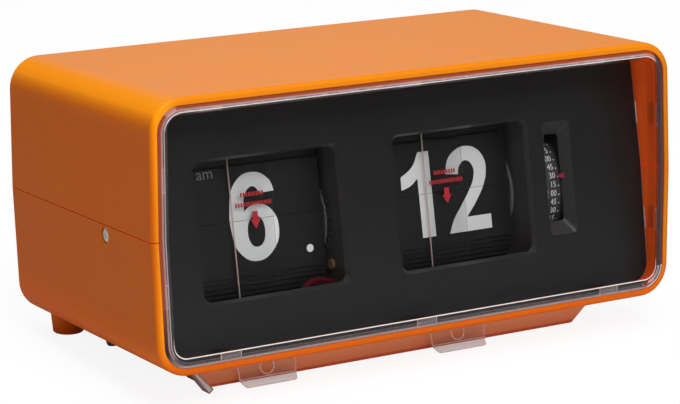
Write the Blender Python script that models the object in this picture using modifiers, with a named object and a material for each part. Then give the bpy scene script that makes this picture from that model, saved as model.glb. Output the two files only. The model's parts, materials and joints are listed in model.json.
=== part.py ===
"""Flip number clock: an orange clam-shell desk clock with split-leaf hour and minute drums and an alarm dial.

Every size below is in millimetres, and place() turns a finished solid into metres.
Two frames are used, each an empty that its pieces are parented to:
    case frame: x to the right, y back from the front plane, z up from the case's underside
    face frame: the same axes leaned back with the face panel, y back from its front, z up along it
The case itself leans back a little, because its front ridge is higher than its rear feet.
"""

import math

import bmesh
import bpy
from mathutils import Matrix, Vector

MM = 0.001

# Case: two mouldings that meet at a level seam, drafted each way from it
CASE_W = 200.0
CASE_H = 88.8
CASE_D = 108.0
SEAM_Z = 44.2
SEAM_GAP = 0.3
WALL = 2.4
CORNER_R = 10.6
DRAFT = math.radians(1.31)
EDGE_R = 1.4
FIT = 0.35

# The floor under the case: its depth below the underside at the front plane, and the case's lean on it
FLOOR_DROP = 12.32
LEAN = math.radians(2.93)

# Feet moulded under the lower case
RIDGE_Y = (20.0, 32.0)
RIDGE_TOP_X = 85.0
RIDGE_SLOPE = 13.0 / 11.3
FOOT_X = 85.0
FOOT_Y = 99.0
FOOT_R = (4.6, 6.0)
FEET_DEPTH = 16.0

# Clear front lens: a border that slopes forward from the brim to a pane proud of the rim, with catches behind
LENS_FRONT = -0.8
LENS_BRIM = 0.3
LENS_PANE_BACK = 0.9
LENS_BACK = 4.6
LENS_CATCH_BACK = 5.8
LENS_BORDER = 3.2
LENS_CATCH_INSET = (1.3, 2.9)
LENS_CATCH_HALF = 3.8
LENS_CATCHES = {"top": (-77.7, -4.9, 68.2), "bottom": (-73.3, 0.0, 73.9), "sides": (63.3, 26.5)}

# Face panel, leaned back inside the case
FACE_Y = 6.4
FACE_TILT = math.radians(8.0)
PANEL_T = 2.0
WINDOW_W = 54.2
WINDOW_H = 46.7
WINDOW_R = 2.8
WINDOW_Z = 42.35
WINDOW_CHAMFER = 1.0
ALARM_X = 62.15
ALARM_Z = 43.7
ALARM_MOUTH = (11.1, 39.0)
ALARM_SLOT = (5.8, 30.0)
FUNNEL_T = 3.7

# Main axis of the drums and the dial, in the face frame
AXIS_BACK = 27.5
AXIS_UP = 40.5
HOUR_X = -50.5
MINUTE_X = 23.6

# Drums and leaves
DRUM_HALF = 27.1
DISC_T = 1.2
DISC_R = 16.0
HUB_R = 13.0
HUB_BORE_R = 11.8
RING_R = (13.4, 14.6)
LEAF_HALF_W = 25.0
LEAF_EAR = 0.5
LEAF_H = 18.0
LEAF_T = 0.5
LEAF_BACK = 12.0
SPLIT_Z = 43.5
SPLIT_GAP = 0.2
HINGE_BACK = 11.8
PACK_HALF_W = 25.2
PACK_LEAF_T = 0.4
STACK_STEP = 0.62
STACK_DROP = 1.7

# Wheels: teeth and module of each pair, and the way from the main axis to each arbor
DRIVE = {"module": 0.52, "drum": 60, "pinion": 12, "angle": math.radians(-35)}
MINUTE_STAGE = {"module": 0.6, "pinion": 10, "gear": 60}
HOUR_STAGE = {"module": 0.84, "pinion": 10, "drum": 40}
TRANSFER_ANGLE = math.radians(80)
ADDENDUM = 0.7
DEDENDUM = 0.95
TOOTH_ROOT = 0.25
TOOTH_TIP = 0.10

# Shafts
SHAFT_R = 1.5
SHAFT_X = (-81.5, 109.0)
ARBOR_R = 1.2
RUN = 0.1

# Movement frame: four plates on three tie rods
PLATE_T = 1.2
PLATE_X = {"left": -79.2, "middle": -21.3, "gear": -6.0, "right": 53.0}
PLATE_FRONT = 3.0
FRONT_SCREW_YZ = (23.7, 22.5)
FRONT_SCREW_R = 0.9
PLATE_FLOOR = 2.8
ROD_R = 1.5
ROD_YZ = {"top": (30.0, 77.0), "rear": (76.0, 40.0), "lower": (66.0, 7.0)}
FLANGE_REACH = 8.2
FLANGE_T = 1.8
FLANGE_Y = {"front": (14.0, 24.0), "rear": (60.0, 70.0)}

# Alarm dial and the two set knobs on the right
DIAL_R = 23.2
DIAL_X = (57.6, 66.6)
DIAL_WALL = 1.6
SLEEVE_R = 4.0
SLEEVE_BORE_R = 2.0
SLEEVE_END = 105.0
ALARM_KNOB = {"x": (100.8, 105.8), "r": 12.0, "flutes": 30, "depth": 0.7}
TIME_KNOB = {"x": (106.2, 110.8), "r": 7.0, "flutes": 20, "depth": 0.6}

# Transport films
FILM_T = 0.3
FILM_BACK = 10.3
FILM_TOP = 68.0
FILM_HALF_W = 7.65
TAB_TOP = 0.9
TAB_HALF_W = 11.3
BEND_Z = -8.0
BEND_HALF_W = 10.6
BEND_ANGLE = math.radians(50)
FLAP_LEN = 3.4
FLAP_HALF_W = 9.4
TAB_HOLE_R = 2.3
TAB_HOLE_UP = 3.3
FILM_X = {"hour": -52.1, "minute": 22.0}

# Battery, its holder and its door in the back wall
CELL_R = 12.6
CELL_X = (0.6, 46.6)
CELL_Y = 91.5
CELL_Z = 18.3
HOLDER_X = (-6.0, 51.8)
HOLDER_Y = (76.5, 105.2)
HOLDER_Z = (3.0, 33.5)
HOLDER_WALL = 1.4
DOOR_X = (-2.6, 48.6)
DOOR_Z = (5.9, 31.1)
DOOR_T = 2.1

# Circuit board, alarm switch and buzzer on the back wall
BOARD_X = (52.0, 92.0)
BOARD_Y = (97.5, 99.1)
BOARD_Z = (50.0, 80.0)
BOARD_POSTS = {"left": (56.0, 76.0), "right": (88.0, 54.0)}
SWITCH_X = 71.5
SWITCH_Z = 65.0
SLIDER_X = (67.0, 72.0)
SLIDER_HALF_H = 1.8

# Screws in the case's sides, just under the seam
CASE_SCREW_Z = 40.7
CASE_SCREW_Y = {"left": 34.1, "right": 78.0}
SCREW_HEAD_R = 2.5
SCREW_SHANK_R = 1.25

ARC_STEPS = 6
PARTS_NAME = "flip_number_clock"


def from_face(back, up):
    """Case-frame y and z of a point given in the face frame."""
    y = FACE_Y + back * math.cos(FACE_TILT) + up * math.sin(FACE_TILT)
    z = up * math.cos(FACE_TILT) - back * math.sin(FACE_TILT)
    return y, z


AXIS_Y, AXIS_Z = from_face(AXIS_BACK, AXIS_UP)


def around_axis(distance, angle):
    """Case-frame y and z of a point at a distance and angle from the main axis."""
    return AXIS_Y + distance * math.cos(angle), AXIS_Z + distance * math.sin(angle)


DRIVE_YZ = around_axis(DRIVE["module"] * (DRIVE["drum"] + DRIVE["pinion"]) / 2, DRIVE["angle"])
TRANSFER_YZ = around_axis(
    MINUTE_STAGE["module"] * (MINUTE_STAGE["pinion"] + MINUTE_STAGE["gear"]) / 2, TRANSFER_ANGLE
)


def clear_scene():
    for old in list(bpy.data.objects):
        bpy.data.objects.remove(old, do_unlink=True)


def finish(name, colour, roughness, metallic=0.0, alpha=1.0):
    """A Principled material for one kind of surface."""
    material = bpy.data.materials.new(name)
    material.use_nodes = True
    shader = material.node_tree.nodes["Principled BSDF"]
    shader.inputs["Base Color"].default_value = (*colour, 1.0)
    shader.inputs["Roughness"].default_value = roughness
    shader.inputs["Metallic"].default_value = metallic
    shader.inputs["Alpha"].default_value = alpha
    return material


def frame_empty(name, parent, location, tilt):
    empty = bpy.data.objects.new(name, None)
    bpy.context.scene.collection.objects.link(empty)
    empty.parent = parent
    empty.location = [value * MM for value in location]
    empty.rotation_euler = (-tilt, 0.0, 0.0)
    return empty


# Solids: each of these makes a loose object, in millimetres, at the origin


def loose(mesh):
    solid = bpy.data.objects.new("solid", mesh)
    bpy.context.scene.collection.objects.link(solid)
    return solid


def from_bmesh(shape):
    mesh = bpy.data.meshes.new("solid")
    shape.to_mesh(mesh)
    shape.free()
    return loose(mesh)


def evaluated_mesh(solid):
    bpy.context.view_layer.update()
    graph = bpy.context.evaluated_depsgraph_get()
    return bpy.data.meshes.new_from_object(solid.evaluated_get(graph))


def welded(mesh, turn):
    """Close a mesh's seams, point its faces out and turn it into place."""
    shape = bmesh.new()
    shape.from_mesh(mesh)
    bmesh.ops.remove_doubles(shape, verts=shape.verts, dist=1e-4)
    bmesh.ops.dissolve_limit(shape, angle_limit=math.radians(0.05), verts=shape.verts, edges=shape.edges)
    bmesh.ops.recalc_face_normals(shape, faces=shape.faces)
    bmesh.ops.transform(shape, matrix=turn, verts=shape.verts)
    bpy.data.meshes.remove(mesh)
    return from_bmesh(shape)


def block(x, y, z):
    shape = bmesh.new()
    bmesh.ops.create_cube(shape, size=1.0)
    bmesh.ops.scale(shape, vec=(x[1] - x[0], y[1] - y[0], z[1] - z[0]), verts=shape.verts)
    centre = (sum(x) / 2, sum(y) / 2, sum(z) / 2)
    bmesh.ops.translate(shape, vec=centre, verts=shape.verts)
    return from_bmesh(shape)


TURNS = {
    "X": Matrix(((0, 0, 1, 0), (1, 0, 0, 0), (0, 1, 0, 0), (0, 0, 0, 1))),
    "Y": Matrix(((1, 0, 0, 0), (0, 0, -1, 0), (0, 1, 0, 0), (0, 0, 0, 1))),
    "Z": Matrix.Identity(4),
}
AXES = {"X": Vector((1, 0, 0)), "Y": Vector((0, 1, 0)), "Z": Vector((0, 0, 1))}


def plate(loops, axis, span):
    """Extrude a flat outline, with any holes in it, along an axis."""
    curve = bpy.data.curves.new("outline", "CURVE")
    curve.dimensions = "2D"
    curve.fill_mode = "BOTH"
    curve.extrude = (span[1] - span[0]) / 2
    for loop in loops:
        spline = curve.splines.new("POLY")
        spline.points.add(len(loop) - 1)
        for point, (u, v) in zip(spline.points, loop):
            point.co = (u, v, 0.0, 1.0)
        spline.use_cyclic_u = True
    outline = loose(curve)
    mesh = evaluated_mesh(outline)
    bpy.data.objects.remove(outline)
    bpy.data.curves.remove(curve)
    shift = Matrix.Translation(AXES[axis] * sum(span) / 2)
    return welded(mesh, shift @ TURNS[axis])


def rod(axis, centre, radius, span, sides=20, end_radius=None):
    """A cylinder or cone; centre holds its place across the axis, in x, y, z order."""
    shape = bmesh.new()
    bmesh.ops.create_cone(
        shape,
        cap_ends=True,
        segments=sides,
        radius1=radius,
        radius2=radius if end_radius is None else end_radius,
        depth=span[1] - span[0],
    )
    middle = sum(span) / 2
    place_at = {
        "X": (middle, centre[0], centre[1]),
        "Y": (centre[0], middle, centre[1]),
        "Z": (centre[0], centre[1], middle),
    }[axis]
    turn = AXES["Z"].rotation_difference(AXES[axis]).to_matrix().to_4x4()
    bmesh.ops.transform(shape, matrix=Matrix.Translation(place_at) @ turn, verts=shape.verts)
    return from_bmesh(shape)


def turned(profile, centre, sides):
    """Turn a closed profile of (x, radius) points about an axis along x."""
    mesh = bpy.data.meshes.new("profile")
    count = len(profile)
    edges = [(k, (k + 1) % count) for k in range(count)]
    mesh.from_pydata([(radius, 0.0, x) for x, radius in profile], edges, [])
    profile_object = loose(mesh)
    screw = profile_object.modifiers.new("turn", "SCREW")
    screw.axis = "Z"
    screw.steps = sides
    screw.render_steps = sides
    screw.use_merge_vertices = True
    screw.merge_threshold = 1e-4
    solid = evaluated_mesh(profile_object)
    bpy.data.objects.remove(profile_object)
    turn = Matrix.Translation((0.0, *centre)) @ Matrix.Rotation(math.pi / 2, 4, "Y")
    return welded(solid, turn)


def tube(points, radius, detail):
    """A wire through the given points."""
    curve = bpy.data.curves.new("wire", "CURVE")
    curve.dimensions = "3D"
    curve.bevel_depth = radius
    curve.bevel_resolution = detail
    curve.render_resolution_u = 0
    curve.use_fill_caps = True
    spline = curve.splines.new("POLY")
    spline.points.add(len(points) - 1)
    for point, place_at in zip(spline.points, points):
        point.co = (*place_at, 1.0)
    wire = loose(curve)
    mesh = evaluated_mesh(wire)
    bpy.data.objects.remove(wire)
    return welded(mesh, Matrix.Identity(4))


def combine(solid, operation, *others):
    """Join or cut a solid with others, which are used up."""
    for other in others:
        step = solid.modifiers.new(operation.lower(), "BOOLEAN")
        step.operation = operation
        step.object = other
        mesh = evaluated_mesh(solid)
        solid.modifiers.clear()
        solid.data = mesh
        bpy.data.objects.remove(other)
    return solid


def join(solid, *others):
    return combine(solid, "UNION", *others)


def cut(solid, *others):
    return combine(solid, "DIFFERENCE", *others)


def round_rim(solid, width, steps, chosen):
    """Round the sharp edges whose two ends are both chosen."""
    shape = bmesh.new()
    shape.from_mesh(solid.data)
    sharp = math.radians(50)
    edges = [
        edge
        for edge in shape.edges
        if edge.calc_face_angle(0.0) > sharp and all(chosen(vert.co) for vert in edge.verts)
    ]
    bmesh.ops.bevel(
        shape, geom=edges, offset=width, segments=steps, profile=0.5, affect="EDGES", clamp_overlap=True
    )
    shape.to_mesh(solid.data)
    shape.free()
    return solid


def place(solid, name, frame, material, origin=(0.0, 0.0, 0.0)):
    """Name a finished solid, scale it to metres and set its origin in its frame."""
    mesh = solid.data
    mesh.transform(Matrix.Scale(MM, 4) @ Matrix.Translation(-Vector(origin)))
    mesh.name = name
    mesh.materials.clear()
    mesh.materials.append(material)
    mesh.shade_smooth()
    mesh.set_sharp_from_angle(angle=math.radians(30))
    solid.name = name
    solid.location = Vector(origin) * MM
    solid.parent = frame
    for collection in list(solid.users_collection):
        collection.objects.unlink(solid)
    bpy.data.collections[PARTS_NAME].objects.link(solid)
    return solid


# Outlines


def circle(centre, radius, sides=20):
    turns = (2 * math.pi * k / sides for k in range(sides))
    return [(centre[0] + radius * math.cos(a), centre[1] + radius * math.sin(a)) for a in turns]


def half_outline(inset, side, gap):
    """Half of the case's outline, x and z, from right to left: side is 1 above the seam and -1 below."""
    far = CASE_H - SEAM_Z if side > 0 else SEAM_Z
    straight = far - CORNER_R
    corner_x = CASE_W / 2 - straight * math.tan(DRAFT) - CORNER_R
    corner_z = SEAM_Z + side * straight
    right = [(CASE_W / 2 - inset - gap * math.tan(DRAFT), SEAM_Z + side * gap)]
    for k in range(ARC_STEPS + 1):
        angle = math.pi / 2 * k / ARC_STEPS
        reach = CORNER_R - inset
        right.append((corner_x + reach * math.cos(angle), corner_z + side * reach * math.sin(angle)))
    return right + [(-x, z) for x, z in reversed(right)]


def full_outline(inset):
    return half_outline(inset, 1, 0.0) + half_outline(inset, -1, 0.0)[-2:0:-1]


def rounded_box(centre, width, height, radius):
    outline = []
    for quarter, (sx, sz) in enumerate(((1, 1), (-1, 1), (-1, -1), (1, -1))):
        for k in range(ARC_STEPS // 2 + 1):
            angle = math.pi / 2 * (quarter + 2 * k / ARC_STEPS)
            x = centre[0] + sx * (width / 2 - radius) + radius * math.cos(angle)
            z = centre[1] + sz * (height / 2 - radius) + radius * math.sin(angle)
            outline.append((x, z))
    return outline


def gear_outline(centre, teeth, module, toward, tooth_there):
    """Straight-sided teeth with backlash; a tooth, or else a gap, faces the other wheel."""
    pitch_r = module * teeth / 2
    step = 2 * math.pi / teeth
    start = toward if tooth_there else toward + step / 2
    tip_r = pitch_r + ADDENDUM * module
    root_r = pitch_r - DEDENDUM * module
    corners = ((root_r, -TOOTH_ROOT), (tip_r, -TOOTH_TIP), (tip_r, TOOTH_TIP), (root_r, TOOTH_ROOT))
    outline = []
    for k in range(teeth):
        for radius, part in corners:
            angle = start + step * (k + part)
            outline.append((centre[0] + radius * math.cos(angle), centre[1] + radius * math.sin(angle)))
    return outline


def fluted_outline(centre, radius, flutes, depth):
    outline = []
    for k in range(2 * flutes):
        angle = math.pi * k / flutes
        reach = radius - depth * (k % 2)
        outline.append((centre[0] + reach * math.cos(angle), centre[1] + reach * math.sin(angle)))
    return outline


def smooth_route(points, per_span):
    """Points along a smooth curve through a hand-laid route."""
    knots = [Vector(point) for point in points]
    ends = [2 * knots[0] - knots[1], *knots, 2 * knots[-1] - knots[-2]]
    route = []
    for before, a, b, after in zip(ends, ends[1:], ends[2:], ends[3:]):
        for k in range(per_span):
            t = k / per_span
            route.append(
                0.5
                * (
                    2 * a
                    + (b - before) * t
                    + (2 * before - 5 * a + 4 * b - after) * t**2
                    + (3 * a - before - 3 * b + after) * t**3
                )
            )
    return [*route, knots[-1]]


# Case shells


def shell(side):
    """One moulding: half of the case's outline with a back wall, open at the front and at the seam."""
    outer = plate([half_outline(0.0, side, SEAM_GAP / 2)], "Y", (0.0, CASE_D))
    round_rim(outer, EDGE_R, 2, lambda at: at.y < EDGE_R or at.y > CASE_D - EDGE_R)
    cavity = plate([half_outline(WALL, side, -WALL)], "Y", (-WALL, CASE_D - WALL))
    return cut(outer, cavity)


def side_screw_seat(side):
    """Hole and counterbore for the screw in one side wall: side is -1 for the left."""
    y = CASE_SCREW_Y["left" if side < 0 else "right"]
    outer = CASE_W / 2
    hole = rod("X", (y, CASE_SCREW_Z), 1.6, sorted((side * (outer - 8), side * (outer + 4))), 12)
    seat = rod("X", (y, CASE_SCREW_Z), 2.8, sorted((side * (outer - 1.25), side * (outer + 4))), 16)
    return hole, seat


def side_screw_tab(side):
    """Tongue of the upper case that hangs inside the lower case's wall and takes the side screw."""
    y = CASE_SCREW_Y["left" if side < 0 else "right"]
    span_y = (y - 6.0, y + 6.0)
    inner = CASE_W / 2 - WALL - 0.5
    tongue = block(sorted((side * inner, side * (inner - 2.4))), span_y, (35.0, 46.5))
    root = block(sorted((side * (inner + 1.5), side * (inner - 2.0))), span_y, (44.6, 48.0))
    hole = rod("X", (y, CASE_SCREW_Z), 1.5, sorted((side * (inner + 2), side * (inner - 4))), 12)
    return cut(join(tongue, root), hole)


def build_upper_case(frame, material):
    upper = shell(1)
    join(upper, side_screw_tab(-1), side_screw_tab(1))
    inner_back = CASE_D - WALL
    for x, z in BOARD_POSTS.values():
        post = rod("Y", (x, z), 3.0, (BOARD_Y[1] + FIT, inner_back + 0.5), 12)
        join(upper, post)
        cut(upper, rod("Y", (x, z), 1.3, (BOARD_Y[1] - 1, inner_back - 1.0), 8))
    slot = block((66.0, 77.0), (inner_back - 1, CASE_D + 1), (SWITCH_Z - 2.2, SWITCH_Z + 2.2))
    cut(upper, slot)
    return place(upper, "upper_case", frame, material)


def build_lower_case(frame, material):
    lower = shell(-1)
    inside = 1.0
    low_x = RIDGE_TOP_X - RIDGE_SLOPE * FEET_DEPTH
    high_x = RIDGE_TOP_X + RIDGE_SLOPE * inside
    ridge = [(-high_x, inside), (high_x, inside), (low_x, -FEET_DEPTH), (-low_x, -FEET_DEPTH)]
    join(lower, plate([ridge], "Y", RIDGE_Y))
    for side in (-1, 1):
        foot = rod("Z", (side * FOOT_X, FOOT_Y), FOOT_R[0], (-FEET_DEPTH, inside), 16, FOOT_R[1])
        join(lower, foot)
        cut(lower, *side_screw_seat(side))
    floor = block((-CASE_W, CASE_W), (-CASE_D, 2 * CASE_D), (-60.0, 0.0))
    floor.data.transform(Matrix.Translation((0, 0, -FLOOR_DROP)) @ Matrix.Rotation(LEAN, 4, "X"))
    cut(lower, floor)
    for x in FILM_X.values():
        slot_y = from_face(FILM_BACK, 2.0)[0]
        cut(lower, block((x - 8.4, x + 8.4), (slot_y - 1.4, slot_y + 1.4), (-1.0, WALL + 1)))
    for x, y in flange_screws().values():
        cut(lower, rod("Z", (x, y), 1.3, (0.7, WALL + 1), 8))
    door = (DOOR_X[0] - FIT, DOOR_X[1] + FIT), (DOOR_Z[0] - FIT, DOOR_Z[1] + FIT)
    cut(lower, block(door[0], (CASE_D - 4, CASE_D + 1), door[1]))
    cut(lower, rod("X", (AXIS_Y, AXIS_Z), SLEEVE_R + 0.7, (CASE_W / 2 - 8, CASE_W / 2 + 4), 20))
    return place(lower, "lower_case", frame, material)


def build_case_screws(frame, material):
    for name, side in (("left", -1), ("right", 1)):
        at = (CASE_SCREW_Y[name], CASE_SCREW_Z)
        outer = CASE_W / 2
        head = rod("X", at, SCREW_HEAD_R, sorted((side * (outer - 0.35), side * (outer - 1.0))), 16)
        shank = rod("X", at, SCREW_SHANK_R, sorted((side * (outer - 0.8), side * (outer - 6.4))), 10)
        place(join(head, shank), f"case_screw_{name}", frame, material)


def build_bumper(frame, material):
    bumper = rod("Z", (-88.0, 57.0), 1.7, (-2.6, -0.4), 14, 2.4)
    place(bumper, "rubber_bumper", frame, material)


# Front: lens, panel and pointer


def scored(solid, at, normal):
    """A solid's mesh, open for editing, with an edge loop scored across it."""
    shape = bmesh.new()
    shape.from_mesh(solid.data)
    everything = shape.verts[:] + shape.edges[:] + shape.faces[:]
    bmesh.ops.bisect_plane(shape, geom=everything, plane_co=at, plane_no=normal, dist=1e-4)
    return shape


def slope_border(lens, outer, inner):
    """Draw the lens's front face in from the outer outline to the inner one, from the brim forward."""
    shape = scored(lens, (0, LENS_BRIM, 0), AXES["Y"])
    for vert in shape.verts:
        if vert.co.y < LENS_BRIM - 1e-3:
            apart = [math.hypot(x - vert.co.x, z - vert.co.z) for x, z in outer]
            vert.co.x, vert.co.z = inner[apart.index(min(apart))]
    shape.to_mesh(lens.data)
    shape.free()


def build_lens(frame, material):
    edge = WALL + FIT
    outer, inner = full_outline(edge), full_outline(edge + LENS_BORDER)
    lens = plate([outer], "Y", (LENS_FRONT, LENS_BACK))
    slope_border(lens, outer, inner)
    cut(lens, plate([inner], "Y", (LENS_PANE_BACK, LENS_BACK + 1)))
    catch_y = (LENS_BACK - 0.2, LENS_CATCH_BACK)
    near, far = (edge + inset for inset in LENS_CATCH_INSET)
    half = LENS_CATCH_HALF
    for x in LENS_CATCHES["top"]:
        join(lens, block((x - half, x + half), catch_y, (CASE_H - far, CASE_H - near)))
    for x in LENS_CATCHES["bottom"]:
        join(lens, block((x - half, x + half), catch_y, (near, far)))
    for z in LENS_CATCHES["sides"]:
        for side in (-1, 1):
            span = sorted((side * (CASE_W / 2 - far), side * (CASE_W / 2 - near)))
            join(lens, block(span, catch_y, (z - half, z + half)))
    return place(lens, "front_lens", frame, material)


def tapered(outline, centre, front, back, shrink):
    """A cutter that narrows from front to back by shrink on each side."""
    solid = plate([outline], "Y", (front, back))
    width = max(abs(x - centre[0]) for x, _ in outline)
    height = max(abs(z - centre[1]) for _, z in outline)
    for vert in solid.data.vertices:
        if vert.co.y > (front + back) / 2:
            vert.co.x = centre[0] + (vert.co.x - centre[0]) * (1 - shrink[0] / width)
            vert.co.z = centre[1] + (vert.co.z - centre[1]) * (1 - shrink[1] / height)
    return solid


def build_panel(frame, material):
    stretch = 1 / math.cos(FACE_TILT)
    outline = [(x, z * stretch) for x, z in full_outline(WALL + 0.75)]
    panel = plate([outline], "Y", (0.0, PANEL_T))
    for x in (HOUR_X, MINUTE_X):
        centre = (x, WINDOW_Z)
        window = rounded_box(centre, WINDOW_W, WINDOW_H, WINDOW_R)
        cut(panel, tapered(window, centre, 0.0, PANEL_T + 0.002, (WINDOW_CHAMFER, WINDOW_CHAMFER)))
    centre = (ALARM_X, ALARM_Z)
    boss_x = (ALARM_X - 6.9, ALARM_X + 6.9)
    boss_z = (ALARM_Z - 20.8, ALARM_Z + 20.8)
    join(panel, block(boss_x, (PANEL_T - 0.5, FUNNEL_T), boss_z))
    shrink = ((ALARM_MOUTH[0] - ALARM_SLOT[0]) / 2, (ALARM_MOUTH[1] - ALARM_SLOT[1]) / 2)
    mouth = rounded_box(centre, *ALARM_MOUTH, 1.8)
    cut(panel, tapered(mouth, centre, -0.002, FUNNEL_T + 0.002, shrink))
    return place(panel, "face_panel", frame, material)


def build_pointer(frame, material):
    tip_x, base_x = ALARM_X - 0.1, ALARM_X + 3.2
    up, half_base = 44.1, 1.1
    pointer = plate([[(tip_x, up), (base_x, up - half_base), (base_x, up + half_base)]], "Y", (2.3, 2.8))
    place(pointer, "alarm_pointer", frame, material)


# Transport films and the clear strip


def build_film(name, frame, material):
    x = FILM_X[name]
    right = [
        (FILM_HALF_W, FILM_TOP),
        (FILM_HALF_W, TAB_TOP),
        (TAB_HALF_W, TAB_TOP - 1.2),
        (BEND_HALF_W, BEND_Z),
        (FLAP_HALF_W, BEND_Z - FLAP_LEN),
    ]
    outline = [(x + u, v) for u, v in right] + [(x - u, v) for u, v in reversed(right)]
    hole = circle((x, BEND_Z + TAB_HOLE_UP), TAB_HOLE_R, 16)
    film = plate([outline, hole], "Y", (FILM_BACK, FILM_BACK + FILM_T))
    bend = Vector((0, FILM_BACK, BEND_Z))
    shape = scored(film, bend, AXES["Z"])
    flap = [vert for vert in shape.verts if vert.co.z < BEND_Z - 1e-3]
    bmesh.ops.rotate(shape, cent=bend, matrix=Matrix.Rotation(-BEND_ANGLE, 3, "X"), verts=flap)
    shape.to_mesh(film.data)
    shape.free()
    place(film, f"{name}_film", frame, material, (x, FILM_BACK, 0.0))


def build_clear_strip(frame, material):
    """A slanted strip under the front left corner, its lower end cut square."""
    outline = [(-83.6, -0.4), (-82.0, -0.4), (-73.9, -9.4), (-75.6, -10.9)]
    place(plate([outline], "Y", (12.0, 16.5)), "clear_strip", frame, material)


# Drums and leaves


def drum(centre_x, toothed_end, wheel):
    """Hub with two end discs, bored for the shaft; the wheel's teeth run round one disc."""
    low, high = centre_x - DRUM_HALF, centre_x + DRUM_HALF
    bore = SHAFT_R + RUN
    rim = {end: DISC_R for end in (-1, 1)}
    rim[toothed_end] = wheel["root"]
    profile = [
        (low, bore),
        (low, rim[-1]),
        (low + DISC_T, rim[-1]),
        (low + DISC_T, HUB_R),
        (high - DISC_T, HUB_R),
        (high - DISC_T, rim[1]),
        (high, rim[1]),
        (high, bore),
        (high - DISC_T, bore),
        (high - DISC_T, HUB_BORE_R),
        (low + DISC_T, HUB_BORE_R),
        (low + DISC_T, bore),
    ]
    body = turned(profile, (AXIS_Y, AXIS_Z), 24)
    start = low if toothed_end < 0 else high - DISC_T
    ring = [wheel["outline"], circle((AXIS_Y, AXIS_Z), HUB_R + 1.0, 32)]
    return join(body, plate(ring, "X", (start + 0.1, start + DISC_T - 0.1)))


def build_drums(frame, material):
    axis = (AXIS_Y, AXIS_Z)
    teeth, module = DRIVE["drum"], DRIVE["module"]
    minute_wheel = {
        "outline": gear_outline(axis, teeth, module, DRIVE["angle"], True),
        "root": module * teeth / 2 - DEDENDUM * module + 0.05,
    }
    teeth, module = HOUR_STAGE["drum"], HOUR_STAGE["module"]
    hour_wheel = {
        "outline": gear_outline(axis, teeth, module, TRANSFER_ANGLE, False),
        "root": module * teeth / 2 - DEDENDUM * module + 0.05,
    }
    place(drum(MINUTE_X, -1, minute_wheel), "minute_drum", frame, material, (MINUTE_X, *axis))
    place(drum(HOUR_X, 1, hour_wheel), "hour_drum", frame, material, (HOUR_X, *axis))


def pack_outline(leaves):
    """Leaves fanned round the drum, in y and z of the face frame, with the fallen stack hanging in front."""
    def on_ring(angle):
        return (AXIS_BACK - RING_R[1] * math.cos(angle), AXIS_UP + RING_R[1] * math.sin(angle))

    def leaf(angle, lean):
        along = Vector((math.cos(lean), math.sin(lean)))
        across = Vector((-along.y, along.x)) * PACK_LEAF_T / 2
        tip = Vector(on_ring(angle)) + along * LEAF_H
        half = math.radians(1.0)
        return [on_ring(angle - half), tuple(tip + across), tuple(tip - across), on_ring(angle + half)]

    outline = [(AXIS_BACK - RING_R[1], AXIS_UP)]
    first_upper, first_lower = math.radians(17.4), math.radians(-35)
    upper = leaves // 2
    for k in range(upper):
        part = k / upper
        outline += leaf(first_upper + part * (math.pi - first_upper), math.radians(90) * (1 - part))
    lower = leaves - upper
    for k in range(lower, 0, -1):
        part = (k - 1) / lower
        angle = first_lower - part * (math.pi + first_lower)
        outline += leaf(angle + 2 * math.pi, math.radians(-85) * (1 - part))
    back = AXIS_BACK - RING_R[1] + 4 * STACK_STEP
    low = SPLIT_Z - LEAF_H - 4 * STACK_DROP
    outline += [on_ring(math.radians(-27)), (back, low)]
    for k in range(4, 0, -1):
        step_back = AXIS_BACK - RING_R[1] + (k - 1) * STACK_STEP
        step_low = SPLIT_Z - LEAF_H - k * STACK_DROP
        outline += [(step_back, step_low)]
        if k > 1:
            outline += [(step_back, step_low + STACK_DROP)]
    return outline


def build_leaves(name, centre_x, leaves, frame, material):
    ring_hole = circle((AXIS_BACK, AXIS_UP), RING_R[0], 32)
    span = (centre_x - PACK_HALF_W, centre_x + PACK_HALF_W)
    pack = plate([pack_outline(leaves), ring_hole], "X", span)
    place(pack, f"{name}_leaf_pack", frame, material, (centre_x, AXIS_BACK, AXIS_UP))
    low, high = SPLIT_Z + SPLIT_GAP / 2, SPLIT_Z + LEAF_H
    ear = LEAF_HALF_W + LEAF_EAR
    ear_top = low + 1.5
    right = [(ear, low), (ear, ear_top), (LEAF_HALF_W, ear_top), (LEAF_HALF_W, high)]
    outline = [(centre_x + u, v) for u, v in right] + [(centre_x - u, v) for u, v in reversed(right)]
    thickness = (LEAF_BACK, LEAF_BACK + LEAF_T)
    hinge = (centre_x, HINGE_BACK, SPLIT_Z)
    place(plate([outline], "Y", thickness), f"{name}_flip_leaf", frame, material, hinge)
    lower = [(u, 2 * SPLIT_Z - v) for u, v in outline]
    place(plate([lower], "Y", thickness), f"{name}_lower_leaf", frame, material, hinge)


def build_leaf_catch(name, centre_x, frame, material):
    """Strip hung from the top rod that holds the upright leaves back, just over their top edges."""
    back, up = 12.65, 79.5
    top = up - ROD_R - FIT
    half = LEAF_HALF_W - 0.4
    catch = block((centre_x - half, centre_x + half), (back - 0.3, back + 0.3), (SPLIT_Z + LEAF_H + 0.6, top))
    place(catch, f"{name}_leaf_catch", frame, material)


# Wheels, arbors and motor


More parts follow.
